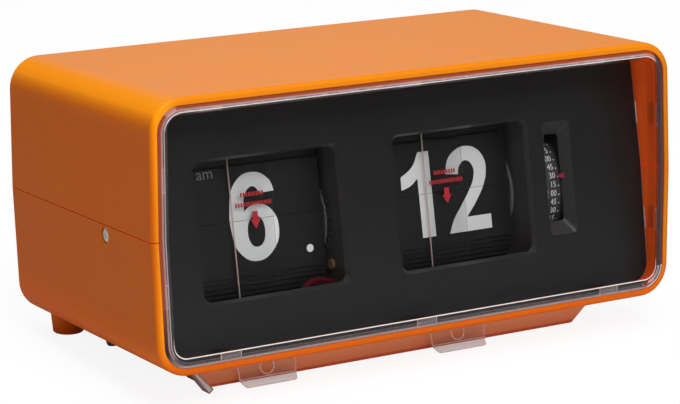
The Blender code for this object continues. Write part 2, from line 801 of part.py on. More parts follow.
def build_wheels(frame, steel, brass, plastic):
    axis = (AXIS_Y, AXIS_Z)
    stage = MINUTE_STAGE
    toward_axis = TRANSFER_ANGLE + math.pi
    pinion = gear_outline(axis, stage["pinion"], stage["module"], TRANSFER_ANGLE, True)
    solid = plate([pinion, circle(axis, SHAFT_R + RUN, 16)], "X", (-19.2, -16.8))
    place(solid, "minute_pinion", frame, brass, (-18.0, *axis))
    gear = gear_outline(TRANSFER_YZ, stage["gear"], stage["module"], toward_axis, False)
    solid = plate([gear, circle(TRANSFER_YZ, ARBOR_R + RUN, 16)], "X", (-18.7, -17.3))
    place(solid, "transfer_gear", frame, plastic, (-18.0, *TRANSFER_YZ))
    stage = HOUR_STAGE
    pinion = gear_outline(TRANSFER_YZ, stage["pinion"], stage["module"], toward_axis, True)
    solid = plate([pinion, circle(TRANSFER_YZ, ARBOR_R + RUN, 16)], "X", (-24.9, -23.1))
    place(solid, "transfer_pinion", frame, brass, (-24.0, *TRANSFER_YZ))
    arbor = rod("X", TRANSFER_YZ, ARBOR_R, (-25.2, -4.7), 12)
    place(arbor, "transfer_arbor", frame, steel, (-15.0, *TRANSFER_YZ))
    shaft = rod("X", axis, SHAFT_R, SHAFT_X, 16)
    place(shaft, "main_shaft", frame, steel, (0.0, *axis))


def build_motor(frame, can, brass):
    motor = rod("X", DRIVE_YZ, 10.0, (-15.6, -6.9), 24)
    cap = rod("X", DRIVE_YZ, 7.0, (-16.8, -15.2), 20)
    place(join(motor, cap), "motor", frame, can)
    outline = gear_outline(DRIVE_YZ, DRIVE["pinion"], DRIVE["module"], DRIVE["angle"] + math.pi, False)
    pinion = plate([outline], "X", (-4.0, -2.0))
    shaft = rod("X", DRIVE_YZ, 1.0, (-6.6, -3.5), 12)
    place(join(pinion, shaft), "motor_pinion", frame, brass, (-4.0, *DRIVE_YZ))


# Movement frame


def flange_screws():
    """Plan position, x and y, of the four screws that hold the frame to the floor."""
    left = PLATE_X["left"] - PLATE_T / 2 - FLANGE_REACH / 2
    right = PLATE_X["right"] + PLATE_T / 2 + FLANGE_REACH / 2
    places = {}
    for side, x in (("left", left), ("right", right)):
        for end, span in FLANGE_Y.items():
            places[f"{side}_{end}"] = (x, sum(span) / 2)
    return places


def plate_outline():
    def front(z):
        return from_face(PLATE_FRONT, 0.0)[0] + (z + PLATE_FRONT * math.sin(FACE_TILT)) * math.tan(FACE_TILT)

    return [
        (front(PLATE_FLOOR), PLATE_FLOOR),
        (74.0, PLATE_FLOOR),
        (74.0, 32.0),
        (79.0, 36.0),
        (79.0, 46.0),
        (42.0, 81.0),
        (front(81.0), 81.0),
    ]


def build_chassis(frame, plastic, steel, brass):
    axis = (AXIS_Y, AXIS_Z)
    bush_hole = 3.3
    for name, x in PLATE_X.items():
        outer = name in ("left", "right")
        holes = [circle(place_at, ROD_R + 0.3, 12) for place_at in ROD_YZ.values()]
        holes.append(circle(axis, bush_hole if outer else 2.2, 16))
        if not outer:
            holes.append(circle(TRANSFER_YZ, ARBOR_R + RUN, 12))
        if name == "middle":
            holes.append(circle(FRONT_SCREW_YZ, FRONT_SCREW_R + RUN, 12))
        if name == "gear":
            holes.append(circle(DRIVE_YZ, 2.2, 12))
        side = plate([plate_outline(), *holes], "X", (x - PLATE_T / 2, x + PLATE_T / 2))
        if outer:
            away = -1 if name == "left" else 1
            for span in FLANGE_Y.values():
                reach = sorted((x, x + away * (PLATE_T / 2 + FLANGE_REACH)))
                join(side, block(reach, span, (PLATE_FLOOR + 0.05, PLATE_FLOOR + FLANGE_T)))
            for key, place_at in flange_screws().items():
                if key.startswith(name):
                    cut(side, rod("Z", place_at, 1.4, (0.0, 8.0), 10))
        place(side, f"chassis_{name}_plate", frame, plastic)
    for name, place_at in ROD_YZ.items():
        place(rod("X", place_at, ROD_R, (-81.0, 54.6), 12), f"tie_rod_{name}", frame, steel)
    for name, away in (("left", -1), ("right", 1)):
        x = PLATE_X[name]
        bore = SHAFT_R + RUN
        profile = [(-0.5, 3.0), (0.9, 3.0), (0.9, 4.2), (1.7, 4.2), (1.7, bore), (-0.5, bore)]
        bush = turned([(x + away * along, radius) for along, radius in profile], axis, 20)
        place(bush, f"shaft_bush_{name}", frame, brass, (x, *axis))
    head_z = PLATE_FLOOR + FLANGE_T + 0.25
    for name, place_at in flange_screws().items():
        head = rod("Z", place_at, 2.4, (head_z, head_z + 1.5), 14, 1.9)
        shank = rod("Z", place_at, 1.0, (1.1, head_z + 0.5), 10)
        place(join(head, shank), f"chassis_screw_{name}", frame, steel)


def build_front_screw(frame, brass):
    """Brass screw through the middle plate, seen at the lower right of the hour window."""
    face = PLATE_X["middle"] - PLATE_T / 2 - 0.1
    head = rod("X", FRONT_SCREW_YZ, 1.7, (face - 1.0, face), 14)
    shank = rod("X", FRONT_SCREW_YZ, FRONT_SCREW_R, (face - 0.5, face + 3.0), 12)
    place(join(head, shank), "front_screw", frame, brass)


# Alarm


def build_alarm(frame, white, knob, brass):
    axis = (AXIS_Y, AXIS_Z)
    x0, x1 = DIAL_X
    profile = [
        (x0, DIAL_R - DIAL_WALL),
        (x0, DIAL_R),
        (x1, DIAL_R),
        (x1, SLEEVE_R),
        (SLEEVE_END, SLEEVE_R),
        (SLEEVE_END, SLEEVE_BORE_R),
        (x0 + 2.0, SLEEVE_BORE_R),
        (x0 + 2.0, SLEEVE_R),
        (x1 - DIAL_WALL, SLEEVE_R),
        (x1 - DIAL_WALL, DIAL_R - DIAL_WALL),
    ]
    place(turned(profile, axis, 36), "alarm_dial", frame, white, (ALARM_X, *axis))
    ring = fluted_outline(axis, ALARM_KNOB["r"], ALARM_KNOB["flutes"], ALARM_KNOB["depth"])
    solid = plate([ring, circle(axis, SLEEVE_R + RUN, 20)], "X", ALARM_KNOB["x"])
    place(solid, "alarm_set_knob", frame, knob, (ALARM_KNOB["x"][0], *axis))
    cap = fluted_outline(axis, TIME_KNOB["r"], TIME_KNOB["flutes"], TIME_KNOB["depth"])
    solid = plate([cap], "X", TIME_KNOB["x"])
    cut(solid, rod("X", axis, SHAFT_R + RUN, (TIME_KNOB["x"][0] - 1, SHAFT_X[1] + RUN), 16))
    place(solid, "time_set_knob", frame, knob, (TIME_KNOB["x"][0], *axis))
    start = PLATE_X["right"] + PLATE_T / 2 + FIT
    blade = block((start, 66.0), (65.0, 65.5), (30.0, 40.0))
    place(blade, "alarm_contact", frame, brass)


# Power and electronics


def build_battery(frame, cell, plastic, steel):
    at = (CELL_Y, CELL_Z)
    can = rod("X", at, CELL_R, CELL_X, 28)
    nub = rod("X", at, 3.6, (CELL_X[1] - 1, CELL_X[1] + 1.9), 14)
    place(join(can, nub), "battery", frame, cell)
    holder = block(HOLDER_X, HOLDER_Y, HOLDER_Z)
    inner = [(span[0] + HOLDER_WALL, span[1] - HOLDER_WALL) for span in (HOLDER_X, HOLDER_Z)]
    cut(holder, block(inner[0], (HOLDER_Y[0] + HOLDER_WALL, HOLDER_Y[1] + 2), inner[1]))
    place(holder, "battery_holder", frame, plastic)
    plus = HOLDER_X[1] - HOLDER_WALL - 0.3
    contact = block((plus - 0.8, plus), (CELL_Y - 6, CELL_Y + 6), (CELL_Z - 8, CELL_Z + 8))
    place(contact, "battery_contact", frame, steel)
    start, end = HOLDER_X[0] + HOLDER_WALL + 0.8, CELL_X[0] - 0.8
    turns, steps = 4, 10
    coil = []
    for k in range(turns * steps + 1):
        part = k / (turns * steps)
        radius = 6.0 - 2.5 * part
        angle = 2 * math.pi * turns * part
        x = start + (end - start) * part
        coil.append((x, CELL_Y + radius * math.cos(angle), CELL_Z + radius * math.sin(angle)))
    place(tube(coil, 0.35, 1), "battery_spring", frame, steel)


def build_door(frame, material):
    door = block(DOOR_X, (CASE_D - DOOR_T, CASE_D), DOOR_Z)
    middle = sum(DOOR_X) / 2
    grip_z = DOOR_Z[1] - 5.0
    for row in range(3):
        low = grip_z - row * 2.4
        cut(door, block((middle - 9, middle + 9), (CASE_D - 0.5, CASE_D + 1), (low, low + 1.1)))
    place(door, "battery_door", frame, material, (middle, CASE_D, DOOR_Z[0]))


def build_board(frame, board, black, steel, brass):
    panel = block(BOARD_X, BOARD_Y, BOARD_Z)
    for name, at in BOARD_POSTS.items():
        cut(panel, rod("Y", at, 1.3, (BOARD_Y[0] - 1, BOARD_Y[1] + 1), 10))
        head = rod("Y", at, 2.3, (BOARD_Y[0] - 1.6, BOARD_Y[0] - 0.25), 14)
        shank = rod("Y", at, 1.0, (BOARD_Y[0] - 0.8, 103.2), 10)
        place(join(head, shank), f"board_screw_{name}", frame, steel)
    place(panel, "circuit_board", frame, board)
    face = BOARD_Y[0] - FIT
    place(rod("Y", (82.0, 68.0), 8.0, (face - 6.0, face), 24), "buzzer", frame, black)
    place(block((57.0, 67.0), (face - 2.5, face), (54.5, 61.5)), "driver_chip", frame, black)
    rear = BOARD_Y[1] + FIT
    body = block((SWITCH_X - 6, SWITCH_X + 6), (rear, 104.6), (SWITCH_Z - 3, SWITCH_Z + 3))
    place(body, "alarm_switch_body", frame, brass)
    stem = block(SLIDER_X, (104.9, CASE_D - 0.3), (SWITCH_Z - SLIDER_HALF_H, SWITCH_Z + SLIDER_HALF_H))
    for x in (SLIDER_X[0] + 1.2, SLIDER_X[0] + 3.0):
        groove = (SWITCH_Z - 3, SWITCH_Z + 3)
        cut(stem, block((x, x + 0.8), (CASE_D - 0.9, CASE_D), groove))
    origin = (sum(SLIDER_X) / 2, CASE_D, SWITCH_Z)
    place(stem, "alarm_switch_slider", frame, black, origin)


RED_ROUTE = (
    (-6.6, 86.0, 9.0),
    (-14.0, 83.0, 4.6),
    (-23.4, 78.0, 3.9),
    (-23.6, 66.0, 3.9),
    (-23.6, 40.0, 3.9),
    (-23.8, 26.0, 5.4),
    (-24.8, 19.0, 12.5),
    (-25.6, 17.5, 17.4),
    (-29.5, 17.2, 19.1),
    (-33.4, 17.2, 19.5),
    (-36.6, 17.6, 17.4),
    (-38.0, 19.0, 11.0),
    (-39.5, 26.0, 4.6),
    (-40.0, 44.0, 3.9),
    (-39.0, 68.0, 3.9),
    (-31.0, 81.0, 7.0),
    (-21.0, 78.0, 15.0),
    (-18.9, 68.0, 22.0),
    (-18.2, 60.6, 25.5),
)
BLACK_ROUTE = (
    (46.0, 88.0, 34.9),
    (50.0, 88.5, 38.0),
    (57.0, 91.0, 43.0),
    (60.0, 94.0, 48.5),
    (60.6, 96.6, 52.0),
)


def build_leads(frame, red, black):
    place(tube(smooth_route(RED_ROUTE, 3), 1.2, 1), "red_lead", frame, red)
    place(tube(smooth_route(BLACK_ROUTE, 3), 0.8, 1), "black_lead", frame, black)


def stand_on_floor(root, parts):
    """Move the whole clock so that its box stands on z = 0, centred on the origin."""
    bpy.context.view_layer.update()
    corners = [part.matrix_world @ vert.co for part in parts for vert in part.data.vertices]
    low = Vector(min(at[k] for at in corners) for k in range(3))
    high = Vector(max(at[k] for at in corners) for k in range(3))
    root.location -= Vector(((low.x + high.x) / 2, (low.y + high.y) / 2, low.z))
    bpy.context.view_layer.update()


def main():
    clear_scene()
    parts = bpy.data.collections.new(PARTS_NAME)
    bpy.context.scene.collection.children.link(parts)
    case = frame_empty("case_frame", None, (0.0, 0.0, 0.0), LEAN)
    face = frame_empty("face_frame", case, (0.0, FACE_Y, 0.0), FACE_TILT)

    orange = finish("orange_plastic", (0.85, 0.24, 0.01), 0.32)
    clear = finish("clear_plastic", (0.95, 0.95, 0.96), 0.05, alpha=0.2)
    panel_black = finish("panel_black", (0.02, 0.02, 0.022), 0.4)
    leaf_black = finish("leaf_black", (0.015, 0.015, 0.016), 0.5)
    drum_grey = finish("drum_plastic", (0.05, 0.05, 0.055), 0.45)
    frame_black = finish("frame_plastic", (0.03, 0.03, 0.03), 0.5)
    white = finish("wheel_plastic", (0.75, 0.74, 0.7), 0.4)
    dial_black = finish("dial_plastic", (0.02, 0.02, 0.02), 0.45)
    red = finish("red_plastic", (0.5, 0.02, 0.03), 0.4)
    rubber = finish("black_rubber", (0.02, 0.02, 0.02), 0.7)
    steel = finish("bright_steel", (0.6, 0.6, 0.6), 0.25, 1.0)
    brass = finish("brass", (0.75, 0.52, 0.2), 0.3, 1.0)
    cell = finish("cell_wrap", (0.12, 0.12, 0.13), 0.35)
    board = finish("board_green", (0.02, 0.16, 0.06), 0.45)

    build_upper_case(case, orange)
    build_lower_case(case, orange)
    build_case_screws(case, steel)
    build_bumper(case, rubber)
    build_lens(case, clear)
    build_panel(face, panel_black)
    build_pointer(face, red)
    build_film("hour", face, clear)
    build_film("minute", face, clear)
    build_clear_strip(case, clear)
    build_drums(case, drum_grey)
    build_leaves("hour", HOUR_X, 22, face, leaf_black)
    build_leaves("minute", MINUTE_X, 44, face, leaf_black)
    build_leaf_catch("hour", HOUR_X, face, frame_black)
    build_leaf_catch("minute", MINUTE_X, face, frame_black)
    build_wheels(case, steel, brass, white)
    build_motor(case, steel, brass)
    build_chassis(case, frame_black, steel, brass)
    build_front_screw(case, brass)
    build_alarm(case, dial_black, frame_black, brass)
    build_battery(case, cell, frame_black, steel)
    build_door(case, orange)
    build_board(case, board, frame_black, steel, frame_black)
    build_leads(case, red, rubber)
    stand_on_floor(case, parts.objects)


main()
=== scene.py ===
import json
import math

import bmesh
import bpy
from mathutils import Matrix, Vector

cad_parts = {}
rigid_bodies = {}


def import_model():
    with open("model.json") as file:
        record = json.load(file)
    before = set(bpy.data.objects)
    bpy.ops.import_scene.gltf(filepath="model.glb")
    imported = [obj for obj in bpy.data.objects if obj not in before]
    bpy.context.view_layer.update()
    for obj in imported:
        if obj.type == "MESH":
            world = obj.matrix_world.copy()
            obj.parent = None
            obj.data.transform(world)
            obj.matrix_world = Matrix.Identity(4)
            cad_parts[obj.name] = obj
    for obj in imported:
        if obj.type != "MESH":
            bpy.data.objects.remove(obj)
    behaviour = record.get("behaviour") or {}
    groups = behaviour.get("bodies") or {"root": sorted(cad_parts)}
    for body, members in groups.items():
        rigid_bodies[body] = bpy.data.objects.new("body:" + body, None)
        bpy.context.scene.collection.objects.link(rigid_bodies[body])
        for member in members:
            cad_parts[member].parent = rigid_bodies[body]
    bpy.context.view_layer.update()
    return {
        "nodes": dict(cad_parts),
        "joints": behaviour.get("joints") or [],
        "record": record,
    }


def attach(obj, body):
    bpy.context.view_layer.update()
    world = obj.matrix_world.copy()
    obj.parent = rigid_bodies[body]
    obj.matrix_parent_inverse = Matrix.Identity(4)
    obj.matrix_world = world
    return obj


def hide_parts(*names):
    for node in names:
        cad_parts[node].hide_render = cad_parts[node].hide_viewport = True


for old in list(bpy.data.objects):
    bpy.data.objects.remove(old, do_unlink=True)

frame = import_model()
bpy.context.scene.view_settings.view_transform = "Standard"

# Two working spaces, both in millimetres: the case, and the face panel leaned back inside it
stance = {
    "lean": math.radians(2.93),  # case, on its front ridge
    "tilt": math.radians(8.0),  # face panel in the case
    "faceY": 6.4,
    "axisBack": 27.5,  # drum axis behind the panel
    "axisUp": 40.5,
    "hourX": -50.5,
    "minuteX": 23.6,
    "floorDrop": 12.32,
}
mm = 0.001
up, back, right = Vector((0, 0, 1)), Vector((0, 1, 0)), Vector((1, 0, 0))
leanTurn = Matrix.Rotation(-stance["lean"], 4, "X")
faceToCase = Matrix.Translation((0, stance["faceY"], 0)) @ Matrix.Rotation(-stance["tilt"], 4, "X")
axisInCase = faceToCase @ Vector((stance["minuteX"], stance["axisBack"], stance["axisUp"]))
axisY, axisZ = axisInCase.y, axisInCase.z
jointPlace = {joint["name"]: Vector(joint["pos_m"]) for joint in frame["joints"] if "pos_m" in joint}
casePlace = Matrix.Translation(jointPlace["minute_turn"] - leanTurn @ axisInCase * mm) @ leanTurn
caseSpace = casePlace @ Matrix.Scale(mm, 4)
faceSpace = caseSpace @ faceToCase


# Shader maths: a wire holds one socket, and sums on wires add Math nodes


class Wire:
    def __init__(self, tree, socket):
        self.tree = tree
        self.socket = socket

    def math(self, operation, first, second):
        node = self.tree.nodes.new("ShaderNodeMath")
        node.operation = operation
        for value, slot in zip((first, second), node.inputs):
            plug(self.tree, value, slot)
        return Wire(self.tree, node.outputs[0])

    def __add__(self, other):
        return self.math("ADD", self, other)

    def __sub__(self, other):
        return self.math("SUBTRACT", self, other)

    def __rsub__(self, other):
        return self.math("SUBTRACT", other, self)

    def __mul__(self, other):
        return self.math("MULTIPLY", self, other)

    __radd__ = __add__
    __rmul__ = __mul__


def plug(tree, value, slot):
    if isinstance(value, Wire):
        tree.links.new(value.socket, slot)
    else:
        slot.default_value = value


class NodeSet:
    def __init__(self, owner, shader):
        owner.use_nodes = True
        self.owner = owner
        self.tree = owner.node_tree
        self.shader = self.tree.nodes[shader]

    # any node: its settings first, then the values or links of its sockets, by name or by number
    def add(self, kind, settings=None, output=0, numbered=None, **sockets):
        node = self.tree.nodes.new(kind)
        for key, value in (settings or {}).items():
            setattr(node, key, value)
        for key, value in {**(numbered or {}), **sockets}.items():
            slot = key.replace("_", " ") if isinstance(key, str) else key
            plug(self.tree, value, node.inputs[slot])
        return Wire(self.tree, node.outputs[output])

    def set(self, **sockets):
        for key, value in sockets.items():
            plug(self.tree, value, self.shader.inputs[key.replace("_", " ")])


class Look(NodeSet):
    def __init__(self, name):
        super().__init__(bpy.data.materials.new(name), "Principled BSDF")
        self.surface = Wire(self.tree, self.shader.outputs[0])
        self.place = self.add("ShaderNodeTexCoord", output="Object")

    def noise(self, perMetre, detail=3.0):
        size = {"Scale": perMetre, "Detail": detail, "Roughness": 0.55}
        return self.add("ShaderNodeTexNoise", Vector=self.place, **size)

    def bump(self, height, strength, distance):
        return self.add("ShaderNodeBump", Height=height, Strength=strength, Distance=distance)

    def blendColour(self, factor, first, second):
        start = first if isinstance(first, Wire) else (*first, 1.0)
        return self.add("ShaderNodeMix", {"data_type": "RGBA"}, 2, {0: factor, 6: start, 7: (*second, 1.0)})

    def blendShader(self, factor, first, second):
        return self.add("ShaderNodeMixShader", numbered={0: factor, 1: first, 2: second})

    # a value that runs from one level to another between two places along an axis
    def fade(self, axis, places, levels):
        along = self.add("ShaderNodeSeparateXYZ", output=axis, Vector=self.place)
        ends = {"From_Min": places[0], "From_Max": places[1], "To_Min": levels[0], "To_Max": levels[1]}
        return self.add("ShaderNodeMapRange", Value=along, **ends)

    # the highest of several fades
    def most(self, fades):
        level = self.fade(*fades[0])
        for other in fades[1:]:
            level = level.math("MAXIMUM", level, self.fade(*other))
        return level

    def show(self, surface):
        plug(self.tree, surface, self.tree.nodes["Material Output"].inputs["Surface"])
        return self.owner


# tone clouds and surface grain of moulded plastic: how many per metre, what each adds to roughness,
# and the grain's height in metres
grainShape = {"clouds": 38.0, "grains": 2600.0, "cloudRough": 0.08, "grainRough": 0.06, "high": 0.00006}


# the shading list holds painted light and shade: colours that the moulding fades to along an axis, in place
# of how light falls on it; glow is painted light as well, an emission that stands in for light that comes
# through a thin wall
def mouldedLook(name, colour, rough, spread=0.06, grain=0.25, shine=0.5, glow=None, paintedShading=()):
    look = Look(name)
    slow = look.noise(grainShape["clouds"])
    fine = look.noise(grainShape["grains"], 2.0)
    cloudRough, grainRough = grainShape["cloudRough"], grainShape["grainRough"]
    darker = tuple(part * (1 - spread) for part in colour)
    lighter = tuple(min(1.0, part * (1 + spread)) for part in colour)
    base = look.blendColour(slow, darker, lighter)
    for shade, *fade in paintedShading:
        base = look.blendColour(look.fade(*fade), base, shade)
    look.set(
        Base_Color=base,
        Roughness=slow * cloudRough + fine * grainRough + (rough - (cloudRough + grainRough) / 2),
        Normal=look.bump(fine, grain, grainShape["high"]),
        Specular_IOR_Level=shine,
    )
    if glow:
        share = look.fade(*glow["across"]) * look.fade(*glow["along"])
        light = look.blendColour(share, (0.0, 0.0, 0.0), glow["colour"])
        look.set(Emission_Color=light, Emission_Strength=1.0)
    return look.owner


# turning marks: how many per metre along x and across it, what they add to roughness, height in metres
turnedShape = {"marks": (300.0, 2200.0, 2200.0), "rough": 0.18, "dark": 0.85, "bump": 0.2, "high": 0.00003}


def turnedMetalLook(name, colour, rough):
    look = Look(name)
    stretched = look.add("ShaderNodeMapping", Vector=look.place, Scale=turnedShape["marks"])
    streaks = look.add("ShaderNodeTexNoise", Vector=stretched, Scale=1.0, Detail=2.0)
    darker = tuple(part * turnedShape["dark"] for part in colour)
    look.set(
        Base_Color=look.blendColour(streaks, darker, colour),
        Roughness=streaks * turnedShape["rough"] + (rough - turnedShape["rough"] / 2),
        Normal=look.bump(streaks, turnedShape["bump"], turnedShape["high"]),
        Metallic=1.0,
    )
    return look.owner


# clear pieces: mostly see-through, with a gloss that grows at a slant and a little body colour
def clearLook(name, tint, body, gloss, rough=0.04, slant=1.25, fades=None):
    look = Look(name)
    cloud = look.noise(90.0)
    look.set(Base_Color=(*tint, 1.0), Roughness=cloud * 0.03 + rough)
    through = look.add("ShaderNodeBsdfTransparent", Color=(0.97, 0.97, 0.97, 1.0))
    share = look.add("ShaderNodeFresnel", IOR=slant) * gloss + cloud * 0.02 + (body - 0.01)
    if fades:
        share = share * look.most(fades)
    return look.show(look.blendShader(share, through, look.surface))


# the lens's border refracts, because there is nothing behind it but the case; fogs are milky shares of it
# that paint light and shade onto the border: painted highlights, painted reflections and painted shade
def glassLook(name, tint, paintedFogs):
    look = Look(name)
    cloud = look.noise(140.0)
    look.set(
        Base_Color=look.blendColour(cloud, tuple(part * 0.94 for part in tint), tint),
        Roughness=cloud * 0.03 + 0.02,
        Transmission_Weight=1.0,
        IOR=1.49,
    )
    surface = look.surface
    for colour, *fades in paintedFogs:
        milky = look.add(
            "ShaderNodeBsdfPrincipled", Base_Color=(*colour, 1.0), Roughness=0.16, Specular_IOR_Level=0.2
        )
        surface = look.blendShader(look.most(fades), surface, milky)
    return look.show(surface)


# moulded looks: name, colour, roughness, spread of tone, grain, shine
# clear looks: name, tint, body, gloss, roughness, slant; a fade is an axis, two places and the level at each
# painted shade: a dark milky share on the right side of the lens's border
lensPaintedShade = ((0.032, 0.024, 0.028), ("X", (0.0868, 0.0880), (0.0, 0.9)))
looks = {
    # painted light and shade on the orange: a painted highlight on the left rounded edges and the rim's left
    # part, painted shade on the left side, the right rim and the bottom
    "orange": mouldedLook("orangeMoulding", (0.70, 0.198, 0.0006), 0.4, 0.04, 0.2, 0.11, paintedShading=[
        ((0.90, 0.275, 0.0), "X", (-0.0945, -0.1000), (0.0, 1.0)),
        ((0.52, 0.10, 0.0), "X", (-0.1024, -0.1047), (0.0, 1.0)),
        ((0.57, 0.145, 0.0005), "X", (0.0895, 0.0930), (0.0, 1.0)),
        ((0.63, 0.105, 0.0), "Z", (0.0260, 0.0145), (0.0, 1.0)),
    ]),
    # painted light: the case's inside is the orange painted redder and brighter, and a painted glow in front
    # of the panel stands in for light that comes through the thin wall
    "inside": mouldedLook("orangeInsidePaintedLight", (0.95, 0.135, 0.010), 0.5, 0.06, 0.2, 0.1, glow={
        "colour": (0.13, 0.014, 0.003),
        "across": ("X", (0.084, 0.091), (0.0, 1.0)),
        "along": ("Y", (-0.040, -0.030), (1.0, 0.0)),
    }),
    # painted light on the ridge's front, which lies in the case's shade: a lighter, pinkish upper band with a
    # painted sheen, and a lower lip painted lighter than the orange
    "ridgeFacePaintedSheen": mouldedLook("ridgeFacePaintedSheen", (1.0, 0.35, 0.15), 0.34, 0.05, 0.2, 0.4),
    "ridgeLipPaintedLight": mouldedLook("ridgeLipPaintedLight", (0.86, 0.17, 0.065), 0.4, 0.05, 0.2, 0.2),
    # the panel's black is painted lighter towards the bottom, a painted reflection
    "panel": mouldedLook("panelBlack", (0.0125, 0.0125, 0.013), 0.34, 0.12, 0.3, 0.28, paintedShading=[
        ((0.0185, 0.0185, 0.019), "Z", (0.060, 0.026), (0.0, 1.0)),
    ]),
    # painted highlight: the softened front edges of the windows and the alarm slot are light grey
    "panelEdgePaintedHighlight": mouldedLook("panelEdgePaintedHighlight", (0.28, 0.28, 0.282), 0.3, 0.1, 0.1, 0.8),
    # painted light: the walls of the windows and the slot are the panel's black painted lighter; where it
    # paints the drums' teeth darker than the drum, it is painted shade
    "wallPaintedLightAndShade": mouldedLook("wallPaintedLightAndShade", (0.038, 0.038, 0.039), 0.34, 0.12, 0.3, 0.3),
    "leaf": mouldedLook("leafBlack", (0.012, 0.012, 0.0125), 0.34, 0.15, 0.2, 0.28),
    # the digits are painted darker towards the right, painted shade
    "print": mouldedLook("printedWhite", (0.76, 0.78, 0.77), 0.5, 0.03, 0.1, paintedShading=[
        ((0.63, 0.64, 0.635), "X", (-0.025, 0.015), (0.0, 1.0)),
    ]),
    "dimPrint": mouldedLook("printedGrey", (0.17, 0.172, 0.17), 0.5, 0.05, 0.1),
    "redPrint": mouldedLook("printedRed", (0.42, 0.006, 0.012), 0.45, 0.12, 0.1),
    "drum": mouldedLook("drumPlastic", (0.12, 0.12, 0.123), 0.28, 0.15, 0.2),
    "chassis": mouldedLook("chassisPlastic", (0.10, 0.10, 0.103), 0.5, 0.15, 0.3),
    "knob": mouldedLook("knobPlastic", (0.018, 0.018, 0.018), 0.4, 0.15, 0.3),
    "wheel": mouldedLook("wheelPlastic", (0.72, 0.70, 0.64), 0.42, 0.05, 0.2),
    "dial": mouldedLook("dialPlastic", (0.028, 0.026, 0.027), 0.5, 0.15, 0.2),
    "red": mouldedLook("redPlastic", (0.24, 0.004, 0.04), 0.4, 0.1, 0.2),
    "lead": mouldedLook("leadInsulation", (0.075, 0.003, 0.010), 0.7, 0.1, 0.2, 0.1),
    "rubber": mouldedLook("blackRubber", (0.02, 0.02, 0.02), 0.75, 0.2, 0.5),
    "cell": mouldedLook("cellWrap", (0.10, 0.10, 0.11), 0.32, 0.08, 0.1),
    "board": mouldedLook("boardGreen", (0.015, 0.12, 0.04), 0.42, 0.2, 0.3),
    "screwSteel": mouldedLook("screwSteel", (0.60, 0.585, 0.54), 0.3, 0.1, 0.2, 0.9),
    "steel": turnedMetalLook("brightSteel", (0.62, 0.62, 0.60), 0.3),
    "brass": turnedMetalLook("turnedBrass", (0.80, 0.56, 0.22), 0.32),
    "dullBrass": mouldedLook("dullBrass", (0.36, 0.23, 0.095), 0.3, 0.1, 0.2, 0.9),
    "pane": clearLook("lensPane", (0.02, 0.02, 0.02), 0.012, 0.28, 0.03),
    "lensEdge": glassLook("lensEdge", (0.94, 0.91, 0.93), [lensPaintedShade]),
    # painted highlight: a milky white line along the border's top, fainter at the left
    "lensGlint": glassLook("lensGlint", (0.96, 0.92, 0.93), [
        ((0.95, 0.84, 0.83), ("Z", (0.088, 0.094), (0.10, 0.62)), ("X", (-0.0995, -0.0975), (0.34, 0.0))),
        lensPaintedShade,
    ]),
    # painted reflection: the orange case painted dark red into the band next to the rim, and light grey along
    # the bottom
    "lensRoot": glassLook("lensRoot", (0.96, 0.90, 0.90), [
        ((0.34, 0.064, 0.022), ("Z", (0.022, 0.040), (0.0, 0.78))),
        ((0.55, 0.48, 0.48), ("Z", (0.0155, 0.0200), (0.5, 0.0))),
        lensPaintedShade,
    ]),
    # painted reflection: a pinkish milky band, strongest at the top and the left
    "lensFog": glassLook("lensFog", (0.96, 0.92, 0.93), [
        ((0.80, 0.45, 0.44), ("Z", (0.018, 0.030), (0.12, 0.4)), ("X", (-0.0995, -0.0975), (0.40, 0.0))),
        lensPaintedShade,
    ]),
    # painted highlight: a bright pinkish line at the pane's edge, strongest at the bottom
    "lensCrease": clearLook("lensCrease", (1.0, 0.82, 0.78), 1.0, 0.1, 0.12, fades=[
        ("Z", (0.0185, 0.0260), (0.88, 0.0)),
        ("X", (0.055, 0.080), (0.05, 0.0)),
    ]),
    "lensSpark": clearLook("lensSpark", (0.94, 0.96, 1.0), 0.6, 0.3, 0.1),
    # painted reflection: light marks where the clear catches show through the border; painted highlight:
    # light bars at their ends and at the hook tips
    "lensCatch": clearLook("lensCatch", (0.70, 0.62, 0.64), 0.15, 0.2, 0.1),
    "lensCatchEnd": clearLook("lensCatchEnd", (0.95, 0.88, 0.88), 0.45, 0.2, 0.1),
    "lensLeg": clearLook("lensLeg", (0.80, 0.30, 0.12), 0.015, 0.0, 0.1),
    "film": clearLook("filmSheet", (0.10, 0.10, 0.10), 0.015, 0.25, 0.05),
    # painted reflection: a pinkish line on the films' edges and along their near side
    "filmEdgePaintedReflection": clearLook("filmEdgePaintedReflection", (0.55, 0.36, 0.36), 0.62, 0.2, 0.2),
    "filmFar": clearLook("filmFar", (0.16, 0.15, 0.15), 0.35, 0.2, 0.2),
    "tab": clearLook("tabSheet", (0.80, 0.72, 0.68), 0.05, 0.3, 0.08),
    # painted highlight on the tab's outlines, and a painted sheen that whitens the bent flap
    "tabPaintedHighlight": clearLook("tabPaintedHighlight", (0.95, 0.76, 0.71), 0.7, 0.3, 0.1),
    "flap": clearLook("tabFlapPaintedSheen", (0.86, 0.82, 0.80), 0.42, 0.4, 0.1),
    # painted highlight: the clear strip is whitish in its middle; painted shade: darker at its border and
    # sides
    "strip": clearLook("clearStripPaintedHighlight", (0.90, 0.84, 0.82), 0.6, 0.6, 0.08, 1.4),
    "stripSidePaintedShade": clearLook("stripSidePaintedShade", (0.36, 0.25, 0.25), 0.7, 0.4, 0.1, 1.4),
}
